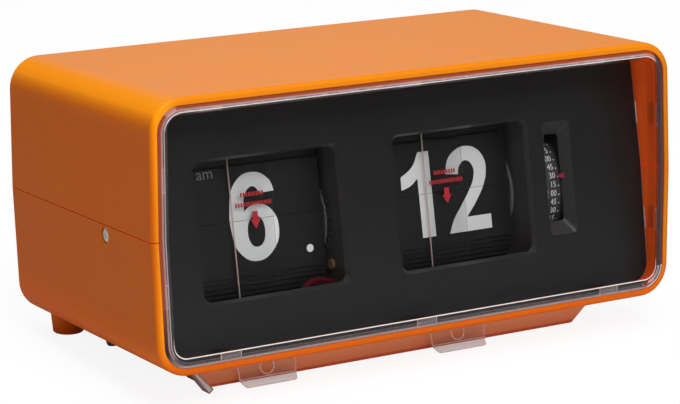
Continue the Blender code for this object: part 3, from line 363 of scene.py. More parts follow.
slotLooks = {
    "orange_plastic": "orange",
    "clear_plastic": "strip",
    "panel_black": "panel",
    "leaf_black": "leaf",
    "drum_plastic": "drum",
    "frame_plastic": "chassis",
    "wheel_plastic": "wheel",
    "dial_plastic": "dial",
    "red_plastic": "lead",
    "black_rubber": "rubber",
    "bright_steel": "steel",
    "brass": "brass",
    "cell_wrap": "cell",
    "board_green": "board",
}
print("looks ready:", len(looks))


# Modelling helpers

axisVector = {"X": right, "Y": back, "Z": up}


def every(part):
    return True


def spread(axis, along, u, v):
    return {"X": (along, u, v), "Y": (u, along, v), "Z": (u, v, along)}[axis]


def faceMid(face):
    return face.calc_center_median()


def tidy(bm):
    bmesh.ops.remove_doubles(bm, verts=bm.verts, dist=1e-4)
    bmesh.ops.recalc_face_normals(bm, faces=bm.faces)
    return bm


def bevel(bm, geometry, width, steps, affect):
    bmesh.ops.bevel(
        bm,
        geom=geometry,
        offset=width,
        segments=steps,
        profile=0.5,
        affect=affect,
        clamp_overlap=affect == "EDGES",
        material=-1,
    )


def soften(bm, width, steps, chosen=every):
    edges = [edge for edge in bm.edges if edge.calc_face_angle(0.0) > 0.7 and chosen(edge)]
    bevel(bm, edges, width, steps, "EDGES")
    return bm


def pull(bm, along):
    grown = bmesh.ops.extrude_face_region(bm, geom=bm.faces[:])
    moved = [part for part in grown["geom"] if isinstance(part, bmesh.types.BMVert)]
    bmesh.ops.translate(bm, vec=along, verts=moved)
    return tidy(bm)


# cuts through a mesh by a plane, and gives the edges of the cut
def sliced(bm, place, normal, geometry=None, **clear):
    geometry = geometry or bm.verts[:] + bm.edges[:] + bm.faces[:]
    made = bmesh.ops.bisect_plane(bm, geom=geometry, plane_co=place, plane_no=normal, **clear)
    return [part for part in made["geom_cut"] if isinstance(part, bmesh.types.BMEdge)]


# a flat outline, some corners rounded, pulled along an axis
def slab(points, axis, span, rounds=None, steps=8):
    bm = bmesh.new()
    corners = [bm.verts.new(spread(axis, span[0], u, v)) for u, v in points]
    bm.faces.new(corners)
    for at, radius in (rounds or {}).items():
        bevel(bm, [corners[at]], radius, steps, "VERTICES")
    return pull(bm, axisVector[axis] * (span[1] - span[0]))


def brick(x, y, z):
    bm = bmesh.new()
    bmesh.ops.create_cube(bm, size=1.0)
    bmesh.ops.scale(bm, vec=(x[1] - x[0], y[1] - y[0], z[1] - z[0]), verts=bm.verts)
    bmesh.ops.translate(bm, vec=(sum(x) / 2, sum(y) / 2, sum(z) / 2), verts=bm.verts)
    return bm


def barrel(axis, centre, radius, span, steps=40, endRadius=None):
    bm = bmesh.new()
    radii = {"radius1": radius, "radius2": radius if endRadius is None else endRadius}
    bmesh.ops.create_cone(bm, cap_ends=True, segments=steps, depth=span[1] - span[0], **radii)
    turn = up.rotation_difference(axisVector[axis]).to_matrix().to_4x4()
    bm.transform(Matrix.Translation(spread(axis, sum(span) / 2, *centre)) @ turn)
    return bm


# a closed profile of (along x, radius) points, spun about a line along x
def lathe(profile, centre, steps=72):
    bm = bmesh.new()
    ring = [bm.verts.new((x, centre[0], centre[1] + radius)) for x, radius in profile]
    edges = [bm.edges.new((ring[k], ring[k - 1])) for k in range(len(ring))]
    turn = {"cent": (0, *centre), "axis": right, "angle": 2 * math.pi, "steps": steps}
    bmesh.ops.spin(bm, geom=ring + edges, use_merge=True, use_duplicate=False, **turn)
    return tidy(bm)


def newMesh(name, bm):
    mesh = bpy.data.meshes.new(name)
    bm.to_mesh(mesh)
    bm.free()
    return mesh


def newObject(name, data):
    obj = bpy.data.objects.new(name, data)
    bpy.context.scene.collection.objects.link(obj)
    return obj


def meshOf(obj):
    bpy.context.view_layer.update()
    return bpy.data.meshes.new_from_object(obj.evaluated_get(bpy.context.evaluated_depsgraph_get()))


def carve(bm, operation, *others):
    base = newObject("standIn", newMesh("standIn", bm))
    for other in others:
        tool = newObject("standIn", newMesh("standIn", other))
        step = base.modifiers.new("carve", "BOOLEAN")
        step.operation = operation
        step.object = tool
        made = meshOf(base)
        base.modifiers.clear()
        base.data = made
        bpy.data.objects.remove(tool)
    out = bmesh.new()
    out.from_mesh(base.data)
    bpy.data.objects.remove(base)
    return out


def cut(bm, *others):
    return carve(bm, "DIFFERENCE", *others)


def join(bm, *others):
    return carve(bm, "UNION", *others)


# loose shells kept in one piece
def gather(*parts):
    bm = bmesh.new()
    for part in parts:
        mesh = newMesh("part", part)
        bm.from_mesh(mesh)
        bpy.data.meshes.remove(mesh)
    return bm


def paint(bm, index, chosen=every):
    for face in bm.faces:
        if chosen(face):
            face.material_index = index
    return bm


def makePiece(name, bm, space, look, body, nodes=(), angle=35):
    bm.transform(space)
    mesh = newMesh(name, bm)
    for key in [look] if isinstance(look, str) else look:
        mesh.materials.append(looks[key])
    mesh.shade_smooth()
    mesh.set_sharp_from_angle(angle=math.radians(angle))
    obj = newObject(name, mesh)
    even = obj.modifiers.new("evenShade", "WEIGHTED_NORMAL")
    even.keep_sharp = True
    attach(obj, body)
    if nodes:
        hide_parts(*nodes)


# Camera at the photograph's place, found in the case's own space

eye = {
    "at": (-0.44448, -0.70698, 0.22406),
    "yaw": math.radians(30.23),
    "pitch": math.radians(12.081),
    "roll": math.radians(-1.26),
    "lens": 138.23,
}
level = Vector((math.cos(eye["yaw"]), -math.sin(eye["yaw"]), 0.0))
ahead = Vector((math.sin(eye["yaw"]), math.cos(eye["yaw"]), 0.0)) * math.cos(eye["pitch"])
ahead.z = -math.sin(eye["pitch"])
above = level.cross(ahead)
rollCos, rollSin = math.cos(eye["roll"]), math.sin(eye["roll"])
eyeRight = level * rollCos + above * rollSin
eyeUp = above * rollCos - level * rollSin
eyeTurn = Matrix((eyeRight, eyeUp, -ahead)).transposed().to_4x4()
camera = newObject("camera", bpy.data.cameras.new("camera"))
camera.data.lens = eye["lens"]
camera.data.sensor_width = 36.0
camera.data.clip_start = 0.05
camera.data.clip_end = 60.0
camera.matrix_world = casePlace @ Matrix.Translation(eye["at"]) @ eyeTurn
bpy.context.scene.camera = camera


# Case halves

caseShape = {
    "width": 200.0,
    "height": 88.8,
    "depth": 108.0,
    "seam": 44.2,
    "seamGap": 0.3,
    "draft": math.radians(1.31),
    "corner": 10.6,
    "wall": 2.4,
    "rim": 1.4,
    "ridge": {
        "top": 85.0, "slope": 13.0 / 11.3, "y": (20.0, 32.0), "deep": 16.0, "inside": 1.2, "lipTop": -10.1,
    },
    "foot": {"x": 85.0, "y": 99.0, "low": 4.6, "high": 6.0, "z": (-16.0, 1.2)},
    "screw": {"z": 40.7, "y": {-1: 34.1, 1: 78.0}, "hole": 1.6, "seat": 2.8, "sunk": 1.25},
    "filmX": {"hour": -52.1, "minute": 22.0},
    "filmSlot": {"back": 10.3, "half": 8.4, "deep": 1.4},
    "door": {"x": (-2.6, 48.6), "z": (5.9, 31.1), "thick": 2.1, "play": 0.35},
    "shaftHole": {"r": 4.7, "x": (92.0, 104.0)},
    "switchSlot": {"x": (66.0, 77.0), "z": (62.8, 67.2)},
    "lip": {"thick": 1.2, "start": 15.0, "z": (38.0, 46.0), "backZ": (40.0, 46.0)},  # behind the seam
}


# half the case's width, at a height
def sideAt(z):
    return caseShape["width"] / 2 - abs(z - caseShape["seam"]) * math.tan(caseShape["draft"])


def halfPoints(side, inset, gap):
    far = (caseShape["height"] if side > 0 else 0.0) - side * inset
    seamZ = caseShape["seam"] + side * gap
    halfSeam = caseShape["width"] / 2 - inset
    slope = math.tan(caseShape["draft"])
    seamX = halfSeam - gap * slope
    farX = halfSeam - abs(far - caseShape["seam"]) * slope
    return [(seamX, seamZ), (farX, far), (-farX, far), (-seamX, seamZ)]


def halfSlab(side, inset, gap, span):
    radius = caseShape["corner"] - inset
    return slab(halfPoints(side, inset, gap), "Y", span, {1: radius, 2: radius}, 12)


def ringSlab(inset, span, stretch=1.0):
    upper = halfPoints(1, inset, 0.0)
    lower = halfPoints(-1, inset, 0.0)
    points = upper + [lower[2], lower[1]]
    radius = caseShape["corner"] - inset
    flat = [(x, z * stretch) for x, z in points]
    return slab(flat, "Y", span, {at: radius for at in (1, 2, 4, 5)}, 12)


def halfShell(side):
    depth = caseShape["depth"]
    outer = halfSlab(side, 0.0, caseShape["seamGap"] / 2, (0.0, depth))
    seamEnd = caseShape["seam"] + side * caseShape["seamGap"] / 2

    def rimEdge(edge):
        ys = [vert.co.y for vert in edge.verts]
        onSeam = all(abs(vert.co.z - seamEnd) < 0.01 for vert in edge.verts)
        return not onSeam and (max(ys) < 0.01 or min(ys) > depth - 0.01)

    soften(outer, caseShape["rim"], 5, rimEdge)
    inner = halfSlab(side, caseShape["wall"], -2.0, (-3.0, depth - caseShape["wall"]))
    return cut(outer, inner)


# faces that look into the case
def isInside(face):
    at = faceMid(face) + face.normal * 0.6
    wall = caseShape["wall"]
    deep = 0.2 < at.y < caseShape["depth"] - wall
    return deep and abs(at.x) < sideAt(at.z) - wall and wall < at.z < caseShape["height"] - wall


# trimmed level with the floor that the leaning case stands on
def onFloor(bm):
    normal = Vector((0, -math.sin(stance["lean"]), math.cos(stance["lean"])))
    rim = sliced(bm, (0, 0, -stance["floorDrop"]), normal, clear_inner=True)
    bmesh.ops.contextual_create(bm, geom=rim)
    return tidy(bm)


def ridgeBar():
    ridge = caseShape["ridge"]
    inside = ridge["inside"]
    low = ridge["top"] - ridge["slope"] * ridge["deep"]
    high = ridge["top"] + ridge["slope"] * inside
    points = [(-high, inside), (high, inside), (low, -ridge["deep"]), (-low, -ridge["deep"])]
    bar = onFloor(slab(points, "Y", ridge["y"]))
    return soften(bar, 0.5, 3, lambda edge: all(vert.co.z < 0.5 for vert in edge.verts))


def onRidgeFront(face):
    at = faceMid(face)
    return face.normal.y < -0.5 and at.z < -0.3 and abs(at.y - caseShape["ridge"]["y"][0]) < 0.6


def buildCase():
    depth, wall, outer = caseShape["depth"], caseShape["wall"], caseShape["width"] / 2
    through = (depth - 4, depth + 1)
    tint = ["orange", "inside", "ridgeFacePaintedSheen", "ridgeLipPaintedLight"]
    slot = brick(caseShape["switchSlot"]["x"], through, caseShape["switchSlot"]["z"])
    soften(slot, 0.5, 2, lambda edge: abs(edge.verts[0].co.y - edge.verts[1].co.y) > 1)
    upper = paint(cut(halfShell(1), slot), 1, isInside)
    makePiece("upper_case_shell", upper, caseSpace, tint[:2], "case", ["upper_case"])

    lower = join(halfShell(-1), ridgeBar())
    foot, screw = caseShape["foot"], caseShape["screw"]
    for side in (-1, 1):
        post = onFloor(barrel("Z", (side * foot["x"], foot["y"]), foot["low"], foot["z"], 40, foot["high"]))
        soften(post, 0.5, 3, lambda edge: all(vert.co.z < -3 for vert in edge.verts))
        lower = join(lower, post)
        at = (screw["y"][side], screw["z"])
        for r, deep, steps in ((screw["hole"], 8, 24), (screw["seat"], screw["sunk"], 40)):
            span = sorted((side * (outer - deep), side * (outer + 4)))
            lower = cut(lower, barrel("X", at, r, span, steps))
    filmSlot = caseShape["filmSlot"]
    y, deep = (faceToCase @ Vector((0, filmSlot["back"], 2.0))).y, filmSlot["deep"]
    for x in caseShape["filmX"].values():
        across = (x - filmSlot["half"], x + filmSlot["half"])
        lower = cut(lower, brick(across, (y - deep, y + deep), (-1.0, wall + 1)))
    door, shaft = caseShape["door"], caseShape["shaftHole"]
    hatchX, hatchZ = ((span[0] - door["play"], span[1] + door["play"]) for span in (door["x"], door["z"]))
    shaftHole = barrel("X", (axisY, axisZ), shaft["r"], shaft["x"], 48)
    lower = cut(lower, brick(hatchX, through, hatchZ), shaftHole)
    lip = caseShape["lip"]
    lipX = outer - wall + 0.05
    for side in (-1, 1):
        across = sorted((side * lipX, side * (lipX - lip["thick"])))
        lower = join(lower, brick(across, (lip["start"], depth - 4), lip["z"]))
    backWall = depth - wall
    lower = join(lower, brick((-lipX, lipX), (backWall - lip["thick"], backWall + 0.02), lip["backZ"]))
    front = [face for face in lower.faces if onRidgeFront(face)]
    geometry = front + list({edge for face in front for edge in face.edges})
    geometry += list({vert for face in front for vert in face.verts})
    lipTop = caseShape["ridge"]["lipTop"]
    sliced(lower, (0, 0, lipTop), up, geometry)
    # the inner faces take the inside look, painted light
    paint(lower, tint.index("inside"), isInside)
    # the ridge's front takes the painted sheen, and its lip below lipTop the painted light
    paint(lower, tint.index("ridgeFacePaintedSheen"), onRidgeFront)
    paint(lower, tint.index("ridgeLipPaintedLight"), lambda face: onRidgeFront(face) and faceMid(face).z < lipTop)
    makePiece("lower_case_shell", lower, caseSpace, tint, "case", ["lower_case"])


buildCase()
print("case halves done")


# Screws in the case's sides: a domed head with a cross recess

screwShape = {
    "headR": 2.5,
    "shankR": 1.25,
    "dome": 0.5,
    "rim": 0.35,
    "recess": 0.62,
    "reach": 0.62,
    "turn": 0.5,
    "headDepth": 0.3,  # from the case's side
    "shankDepth": 6.4,
}


def screwAlongX(shank, head, at, facing):
    headR, shankR, dome = screwShape["headR"], screwShape["shankR"], screwShape["dome"]
    rim = head - facing * dome
    neck = rim - facing * screwShape["rim"]
    profile = [
        (shank, 0.0), (shank, shankR), (neck, shankR), (neck, headR), (rim, headR),
        (rim + facing * dome * 0.55, headR * 0.8), (head - facing * dome * 0.1, headR * 0.5), (head, 0.0),
    ]
    half, reach = screwShape["recess"] / 2, headR * screwShape["reach"]
    deep = sorted((head - facing * dome * 1.2, head + facing))
    centre = Matrix.Translation((0, *at))
    turn = centre @ Matrix.Rotation(screwShape["turn"], 4, "X") @ centre.inverted()
    slots = []
    for wide, high in ((reach, half), (half, reach)):
        slots.append(brick(deep, (at[0] - wide, at[0] + wide), (at[1] - high, at[1] + high)))
        slots[-1].transform(turn)
    return cut(lathe(profile, at, 32), *slots)


def buildCaseScrews():
    outer = caseShape["width"] / 2
    for side, name in ((-1, "left"), (1, "right")):
        at = (caseShape["screw"]["y"][side], caseShape["screw"]["z"])
        shank, head = side * (outer - screwShape["shankDepth"]), side * (outer - screwShape["headDepth"])
        node = f"case_screw_{name}"
        screw = screwAlongX(shank, head, at, side)
        makePiece(f"{node}_head", screw, caseSpace, "screwSteel", "case", [node])


buildCaseScrews()
print("case screws done")


# Face panel, and the lens over it: a clear tray, proud of the rim on a sloping border, with catches behind

panelShape = {
    "thick": 2.0,
    "inset": 0.75,
    "window": {"w": 54.2, "h": 46.7, "r": 2.8, "z": 42.35, "chamfer": 1.0},
    "alarm": {"x": 62.15, "z": 43.7, "mouth": (11.1, 39.0), "slot": (5.8, 30.0), "deep": 3.7, "r": 1.8},
    "boss": {"halfW": 6.9, "halfH": 20.8},  # behind the alarm slot
    "shadeCheek": {"x": (66.9, 67.6), "y": (3.5, 13.0), "z": (27.5, 60.0)},
    "edge": 0.35,
    "sill": {"y": (4.7, 6.9), "z": (2.45, 2.8)},
    "pointer": {"tip": -0.1, "base": 3.5, "z": 44.1, "half": 1.1, "y": (2.3, 2.8)},
}
lensShape = {
    "play": 0.15,
    "brim": 0.3,
    # steps in and forward from the brim, and the look of each
    "slope": [
        (1.0, 0.62, "lensRoot"), (0.55, 0.22, "lensFog"), (0.25, 0.08, "lensEdge"),
        (0.35, 0.08, "lensGlint"), (1.15, 0.1, "lensEdge"),
    ],
    "crease": 0.36,
    # the pane's top and left side are nearer the border's edge
    "raise": 0.9,
    "widen": 0.7,
    "paneBack": 0.9,
    "rear": 4.6,
    "catchRear": 5.8,
    # painted glints at the lower right corner: insets from the border's edge, and depths
    "sparks": [((0.5, 0.8), (-0.2, -0.05)), ((1.9, 2.05), (-0.76, -0.66)), ((2.5, 2.65), (-0.8, -0.7))],
    "sparkCorner": ((90.0, 101.0), (-1.0, 10.5)),
    "hookZ": (62.6, 25.6),
    "hook": 0.35,
    "catchInset": (1.3, 2.9),
    "catchHalf": 3.8,
    "mark": (1.0, 1.3),
    "markEnd": 0.3,
    "top": (-77.7, -4.9, 68.2),
    "bottom": (-73.3, 0.0, 73.9),
    "sides": (63.3, 26.5),
}


# a block at each catch, or a thin bar at each of its two ends
def catchBlocks(near, far, depth, end=0.0):
    half = lensShape["catchHalf"]
    spans = [(-half, -half + end), (half - end, half)] if end else [(-half, half)]
    height, side = caseShape["height"], caseShape["width"] / 2
    blocks = []
    for low, high in spans:
        for x in lensShape["top"]:
            blocks.append(brick((x + low, x + high), depth, (height - far, height - near)))
        for x in lensShape["bottom"]:
            blocks.append(brick((x + low, x + high), depth, (near, far)))
        for z in lensShape["sides"]:
            for facing in (-1, 1):
                across = sorted((facing * (side - near), facing * (side - far)))
                blocks.append(brick(across, depth, (z + low, z + high)))
    return gather(*[soften(block, 0.08, 2) for block in blocks])


def buildLens():
    edge = caseShape["wall"] + lensShape["play"]
    inner = edge + sum(step[0] for step in lensShape["slope"]) + lensShape["crease"]
    brim, paneBack, rear = lensShape["brim"], lensShape["paneBack"], lensShape["rear"]
    tint = ["pane", "lensEdge", "lensRoot", "lensGlint", "lensFog", "lensCrease"]
    tray = paint(ringSlab(edge, (brim, rear)), tint.index("lensEdge"))
    pane = [face for face in tray.faces if face.normal.y < -0.99]
    for inward, forward, look in [*lensShape["slope"], (lensShape["crease"], 0.0, "lensCrease")]:
        step = {"thickness": inward, "depth": forward, "use_even_offset": True}
        made = bmesh.ops.inset_region(tray, faces=pane, **step)
        for face in made["faces"]:
            face.material_index = tint.index(look)
    paint(tray, tint.index("pane"), lambda face: face in pane)
    front = min(vert.co.y for vert in tray.verts)
    foremost = [vert for vert in tray.verts if vert.co.y < front + 0.01]
    for vert in foremost:
        if vert.co.z > caseShape["seam"] + 1:
            vert.co.z += lensShape["raise"]
        if vert.co.x < 0:
            vert.co.x -= lensShape["widen"]
    tray = cut(tray, ringSlab(inner, (paneBack, rear + 1)))
    # behind its sloping border the tray is seen through
    paint(tray, tint.index("pane"), lambda face: faceMid(face).y > paneBack - 0.01)
    makePiece("lens_tray", tray, caseSpace, tint, "case", ["front_lens"])

    near, far = (edge + inset for inset in lensShape["catchInset"])
    mark = lensShape["mark"]
    for part, look, blocks in (
        ("legs", "lensLeg", catchBlocks(near, far, (rear + 0.05, lensShape["catchRear"]))),
        ("marks", "lensCatch", catchBlocks(near - 0.4, far, mark)),
        ("ends", "lensCatchEnd", catchBlocks(near - 0.5, far + 0.1, mark, lensShape["markEnd"])),
    ):
        makePiece(f"lens_catch_{part}", blocks, caseSpace, look, "case")

    # painted glints: thin bright slivers over the lower right corner of the border
    sparks = []
    across, tall = lensShape["sparkCorner"]
    for (start, end), depth in lensShape["sparks"]:
        ring = cut(ringSlab(edge + start, depth), ringSlab(edge + end, (depth[0] - 1, depth[1] + 1)))
        sparks.append(carve(ring, "INTERSECT", brick(across, (-4.0, 4.0), tall)))
    makePiece("lens_corner_glints", gather(*sparks), caseSpace, "lensSpark", "case")

    # painted highlight: light bars at the lens's hook tips beside the panel's right edge
    tips = []
    half = lensShape["catchHalf"]
    for z in lensShape["hookZ"]:
        x = sideAt(z) - caseShape["wall"] - panelShape["inset"]
        tips.append(soften(brick((x - lensShape["hook"], x), (-0.5, -0.1), (z - half, z + half)), 0.08, 2))
    makePiece("lens_hook_tips", gather(*tips), faceSpace, "lensCatchEnd", "case")


buildLens()
print("lens done")


def boxPoints(centre, width, height):
    x, z = centre
    w, h = width / 2, height / 2
    return [(x + w, z + h), (x - w, z + h), (x - w, z - h), (x + w, z - h)]


# a rounded opening that narrows towards the back
def taperCutter(centre, width, height, radius, deep, shrink):
    span = (-0.001, deep + 0.001)
    bm = slab(boxPoints(centre, width, height), "Y", span, {at: radius for at in range(4)}, 8)
    rear = [vert for vert in bm.verts if vert.co.y > sum(span) / 2]
    scale = (1 - 2 * shrink[0] / width, 1.0, 1 - 2 * shrink[1] / height)
    space = Matrix.Translation((-centre[0], 0, -centre[1]))
    bmesh.ops.scale(bm, vec=scale, space=space, verts=rear)
    return bm


def buildPanel():
    thick, edgeDeep = panelShape["thick"], panelShape["edge"]
    panel = ringSlab(caseShape["wall"] + panelShape["inset"], (0.0, thick), 1 / math.cos(stance["tilt"]))
    soften(panel, 0.3, 2, lambda edge: max(vert.co.y for vert in edge.verts) < 0.01)
    window = panelShape["window"]
    shrink = (window["chamfer"], window["chamfer"])
    for x in (stance["hourX"], stance["minuteX"]):
        opening = taperCutter((x, window["z"]), window["w"], window["h"], window["r"], thick, shrink)
        panel = cut(panel, opening)
    alarm, boss = panelShape["alarm"], panelShape["boss"]
    x, z, deep = alarm["x"], alarm["z"], alarm["deep"]
    bossX, bossZ = (x - boss["halfW"], x + boss["halfW"]), (z - boss["halfH"], z + boss["halfH"])
    panel = join(panel, brick(bossX, (thick - 0.5, deep), bossZ))
    shrink = [(wide - narrow) / 2 for wide, narrow in zip(alarm["mouth"], alarm["slot"])]
    panel = cut(panel, taperCutter((x, z), *alarm["mouth"], alarm["r"], deep, shrink))
    soften(panel, edgeDeep, 2, lambda edge: max(vert.co.y for vert in edge.verts) < 0.02)
    tint = ["panel", "panelEdgePaintedHighlight", "wallPaintedLightAndShade"]
    for face in panel.faces:
        y = faceMid(face).y
        if abs(face.normal.y) < 0.97 and y < deep - 0.01:
            face.material_index = tint.index("panelEdgePaintedHighlight" if y < edgeDeep + 0.01 else "wallPaintedLightAndShade")
    # a dark cheek behind the slot closes the gap beside the dial: a painted shade, where the lit inside of
    # the case would show
    shadeCheek = panelShape["shadeCheek"]
    wall = paint(brick(shadeCheek["x"], shadeCheek["y"], shadeCheek["z"]), tint.index("wallPaintedLightAndShade"))
    plate = gather(panel, wall)
    makePiece("panel_plate", plate, faceSpace, tint, "case", ["face_panel"], 25)
    sill = panelShape["sill"]
    reach = caseShape["width"] / 2 - caseShape["wall"] - caseShape["corner"]
    foot = soften(brick((-reach, reach), sill["y"], sill["z"]), 0.1, 2)
    makePiece("panel_sill", foot, caseSpace, "panel", "case")
    wedge = panelShape["pointer"]
    tip, base, z, half = x + wedge["tip"], x + wedge["base"], wedge["z"], wedge["half"]
    pointer = slab([(tip, z), (base, z - half), (base, z + half)], "Y", wedge["y"], {0: 0.3}, 4)
    soften(pointer, 0.1, 2)
    makePiece("pointer_wedge", pointer, faceSpace, "red", "case", ["alarm_pointer"])


buildPanel()
print("panel done")


# Printed digits: outlines of corner (False) and smooth (True) points, in the face's own x and up

digitShapes = {
    "six": [
        [
            (-42.7, 51.9, False), (-44.1, 55.6, True), (-50.4, 58.9, True), (-56.9, 55.9, True),
            (-59.6, 47.0, True), (-59.5, 40.5, True), (-57.2, 33.2, True), (-50.8, 29.7, True),
            (-44.3, 33.0, True), (-42.0, 39.3, True), (-44.0, 45.6, True), (-49.0, 48.4, True),
            (-52.3, 47.7, True), (-54.3, 46.2, False), (-53.7, 51.4, True), (-50.5, 54.2, True),
            (-47.9, 51.7, False),
        ],
        [(-50.4, 44.4, True), (-53.6, 39.4, True), (-50.4, 34.3, True), (-47.1, 39.4, True)],
    ],
    "one": [
        [
            (17.6, 57.9, False), (13.4, 57.9, False), (10.6, 53.1, True), (5.9, 50.1, False),
            (5.9, 45.7, False), (9.6, 46.9, True), (12.5, 49.1, False), (12.7, 28.8, False),
            (18.0, 28.8, False),
        ]
    ],
    "two": [
        [
            (23.7, 49.2, False), (25.0, 54.0, True), (28.4, 57.0, True), (32.2, 57.9, True),
            (36.6, 56.6, True), (39.6, 52.9, True), (40.1, 48.7, True), (38.7, 44.0, True),
            (35.5, 39.0, True), (31.0, 33.7, False), (40.7, 33.7, False), (40.7, 28.8, False),
            (23.5, 28.8, False), (25.6, 33.3, True), (29.3, 38.2, True), (32.6, 42.6, True),
            (34.8, 46.8, True), (34.9, 50.5, True), (32.2, 53.0, True), (29.6, 51.6, True),
            (28.6, 48.6, False),
        ]
    ],
    "seven": [
        [
            (-59.0, 58.4, False), (-59.0, 53.4, False), (-47.8, 53.4, False), (-52.2, 44.6, True),
            (-54.9, 29.9, False), (-49.4, 29.9, False), (-47.0, 43.6, True), (-42.2, 53.9, False),
            (-42.2, 58.4, False),
        ]
    ],
    "three": [
        [
            (23.8, 49.6, False), (25.5, 55.3, True), (31.8, 57.9, True), (38.2, 55.2, True),
            (39.7, 50.6, True), (36.3, 43.9, True), (40.6, 37.2, True), (38.6, 31.2, True),
            (31.8, 28.6, True), (25.1, 31.4, True), (23.4, 37.4, False), (28.4, 37.4, False),
            (29.4, 34.0, True), (32.0, 33.1, True), (35.0, 35.0, True), (34.8, 40.2, True),
            (30.2, 41.6, False), (30.2, 45.8, False), (34.0, 47.0, True), (34.6, 51.4, True),
            (32.0, 53.4, True), (29.6, 52.2, True), (28.8, 49.6, False),
        ]
    ],
}


# a flat curve, stood up to face the front
def curveMesh(curve, depth):
    curve.extrude = depth / 2
    obj = newObject("flat", curve)
    bm = bmesh.new()
    bm.from_mesh(meshOf(obj))
    bpy.data.objects.remove(obj)
    bm.transform(Matrix(((1, 0, 0, 0), (0, 0, -1, 0), (0, 1, 0, 0), (0, 0, 0, 1))))
    return tidy(bm)


def digitMesh(name, depth):
    curve = bpy.data.curves.new(name, "CURVE")
    curve.dimensions = "2D"
    curve.fill_mode = "BOTH"
    curve.resolution_u = 10
    for loop in digitShapes[name]:
        spline = curve.splines.new("BEZIER")
        spline.bezier_points.add(len(loop) - 1)
        for knot, (x, z, smooth) in zip(spline.bezier_points, loop):
            knot.co = (x, z, 0.0)
            knot.handle_left_type = knot.handle_right_type = "AUTO" if smooth else "VECTOR"
        spline.use_cyclic_u = True
    return curveMesh(curve, depth)


# the part of a digit above or below the leaves' split
def halfDigit(name, depth, above):
    bm = digitMesh(name, depth)
    split = leafShape["split"] + (leafShape["gap"] if above else -leafShape["gap"])
    rim = sliced(bm, (0, 0, split), up, clear_inner=above, clear_outer=not above)
    bmesh.ops.edgenet_fill(bm, edges=rim)
    return tidy(bm)


def textMesh(words, size, depth):
    curve = bpy.data.curves.new("words", "FONT")
    curve.body = words
    curve.size = size
    curve.align_x = "CENTER"
    curve.align_y = "CENTER"
    curve.resolution_u = 4
    return curveMesh(curve, depth)


# Leaves and drums

leafShape = {
    "halfW": 25.0,
    "ear": 0.5,
    "earH": 1.5,
    "high": 18.0,
    "thick": 0.5,
    "front": 12.0,
    "split": 43.5,
    "gap": 0.06,
    "hinge": 11.8,
    "ink": 0.04,
    "nextFront": 13.37,
    "am": {"at": (-67.3, 60.0), "size": 5.2},
    "dot": {"at": (-31.1, 31.3), "r": 1.3},
}
drumShape = {
    "half": 27.1,
    "disc": 1.2,
    "discR": 16.0,
    "hubR": 13.0,
    "bore": 1.6,
    "ringR": 14.6,
    "lip": 0.5,
    "roll": 0.3,
    "packHalf": 25.2,
    "packLeaf": 0.36,
    # the fan of leaves: first place round the drum and lean there, in degrees, above and below
    "fanUp": (17.4, 90.0),
    "fanDown": (-35.0, -85.0),
    # the stack of fallen leaves
    "fallen": 4,
    "stack": 0.62,
    "drop": 1.7,
    # teeth, in modules beyond and below the pitch circle, and half a tooth's share of the pitch
    "toothTip": 0.7,
    "toothRoot": 0.95,
    "toothHalf": 0.24,
    "toothTaper": 0.5,
}
# gear: the toothed end, teeth and module
drumFaces = {
    "hour": {"x": stance["hourX"], "now": ["six"], "next": ["seven"], "leaves": 22, "gear": (1, 40, 0.84)},
    "minute": {
        "x": stance["minuteX"],
        "now": ["one", "two"],
        "next": ["one", "three"],
        "leaves": 44,
        "gear": (-1, 60, 0.52),
    },
}


def leafPlate(x, above):
    low = leafShape["split"] + leafShape["gap"]
    high = leafShape["split"] + leafShape["high"]
    ear, wide, earTop = leafShape["halfW"] + leafShape["ear"], leafShape["halfW"], low + leafShape["earH"]
    points = [
        (x + ear, low), (x + ear, earTop), (x + wide, earTop), (x + wide, high),
        (x - wide, high), (x - wide, earTop), (x - ear, earTop), (x - ear, low),
    ]
    if not above:
        points = [(u, 2 * leafShape["split"] - v) for u, v in points]
    front = leafShape["front"]
    bm = slab(points, "Y", (front, front + leafShape["thick"]), {3: 0.8, 4: 0.8}, 5)
    return soften(bm, 0.08, 2, lambda edge: edge.calc_length() > 0.3)


# half digits printed on a face at a given depth
def inkOn(names, above, depth):
    parts = []
    for name in names:
        part = halfDigit(name, leafShape["ink"], above)
        bmesh.ops.translate(part, vec=(0, depth - leafShape["ink"] / 2, 0), verts=part.verts)
        parts.append(part)
    return gather(*parts)


# print for the back of a leaf, which reads right when the leaf is down
def turnedOver(bm):
    hinge = Vector((0, leafShape["hinge"], leafShape["split"]))
    bmesh.ops.rotate(bm, cent=hinge, matrix=Matrix.Rotation(math.pi, 3, "X"), verts=bm.verts)
    return bm


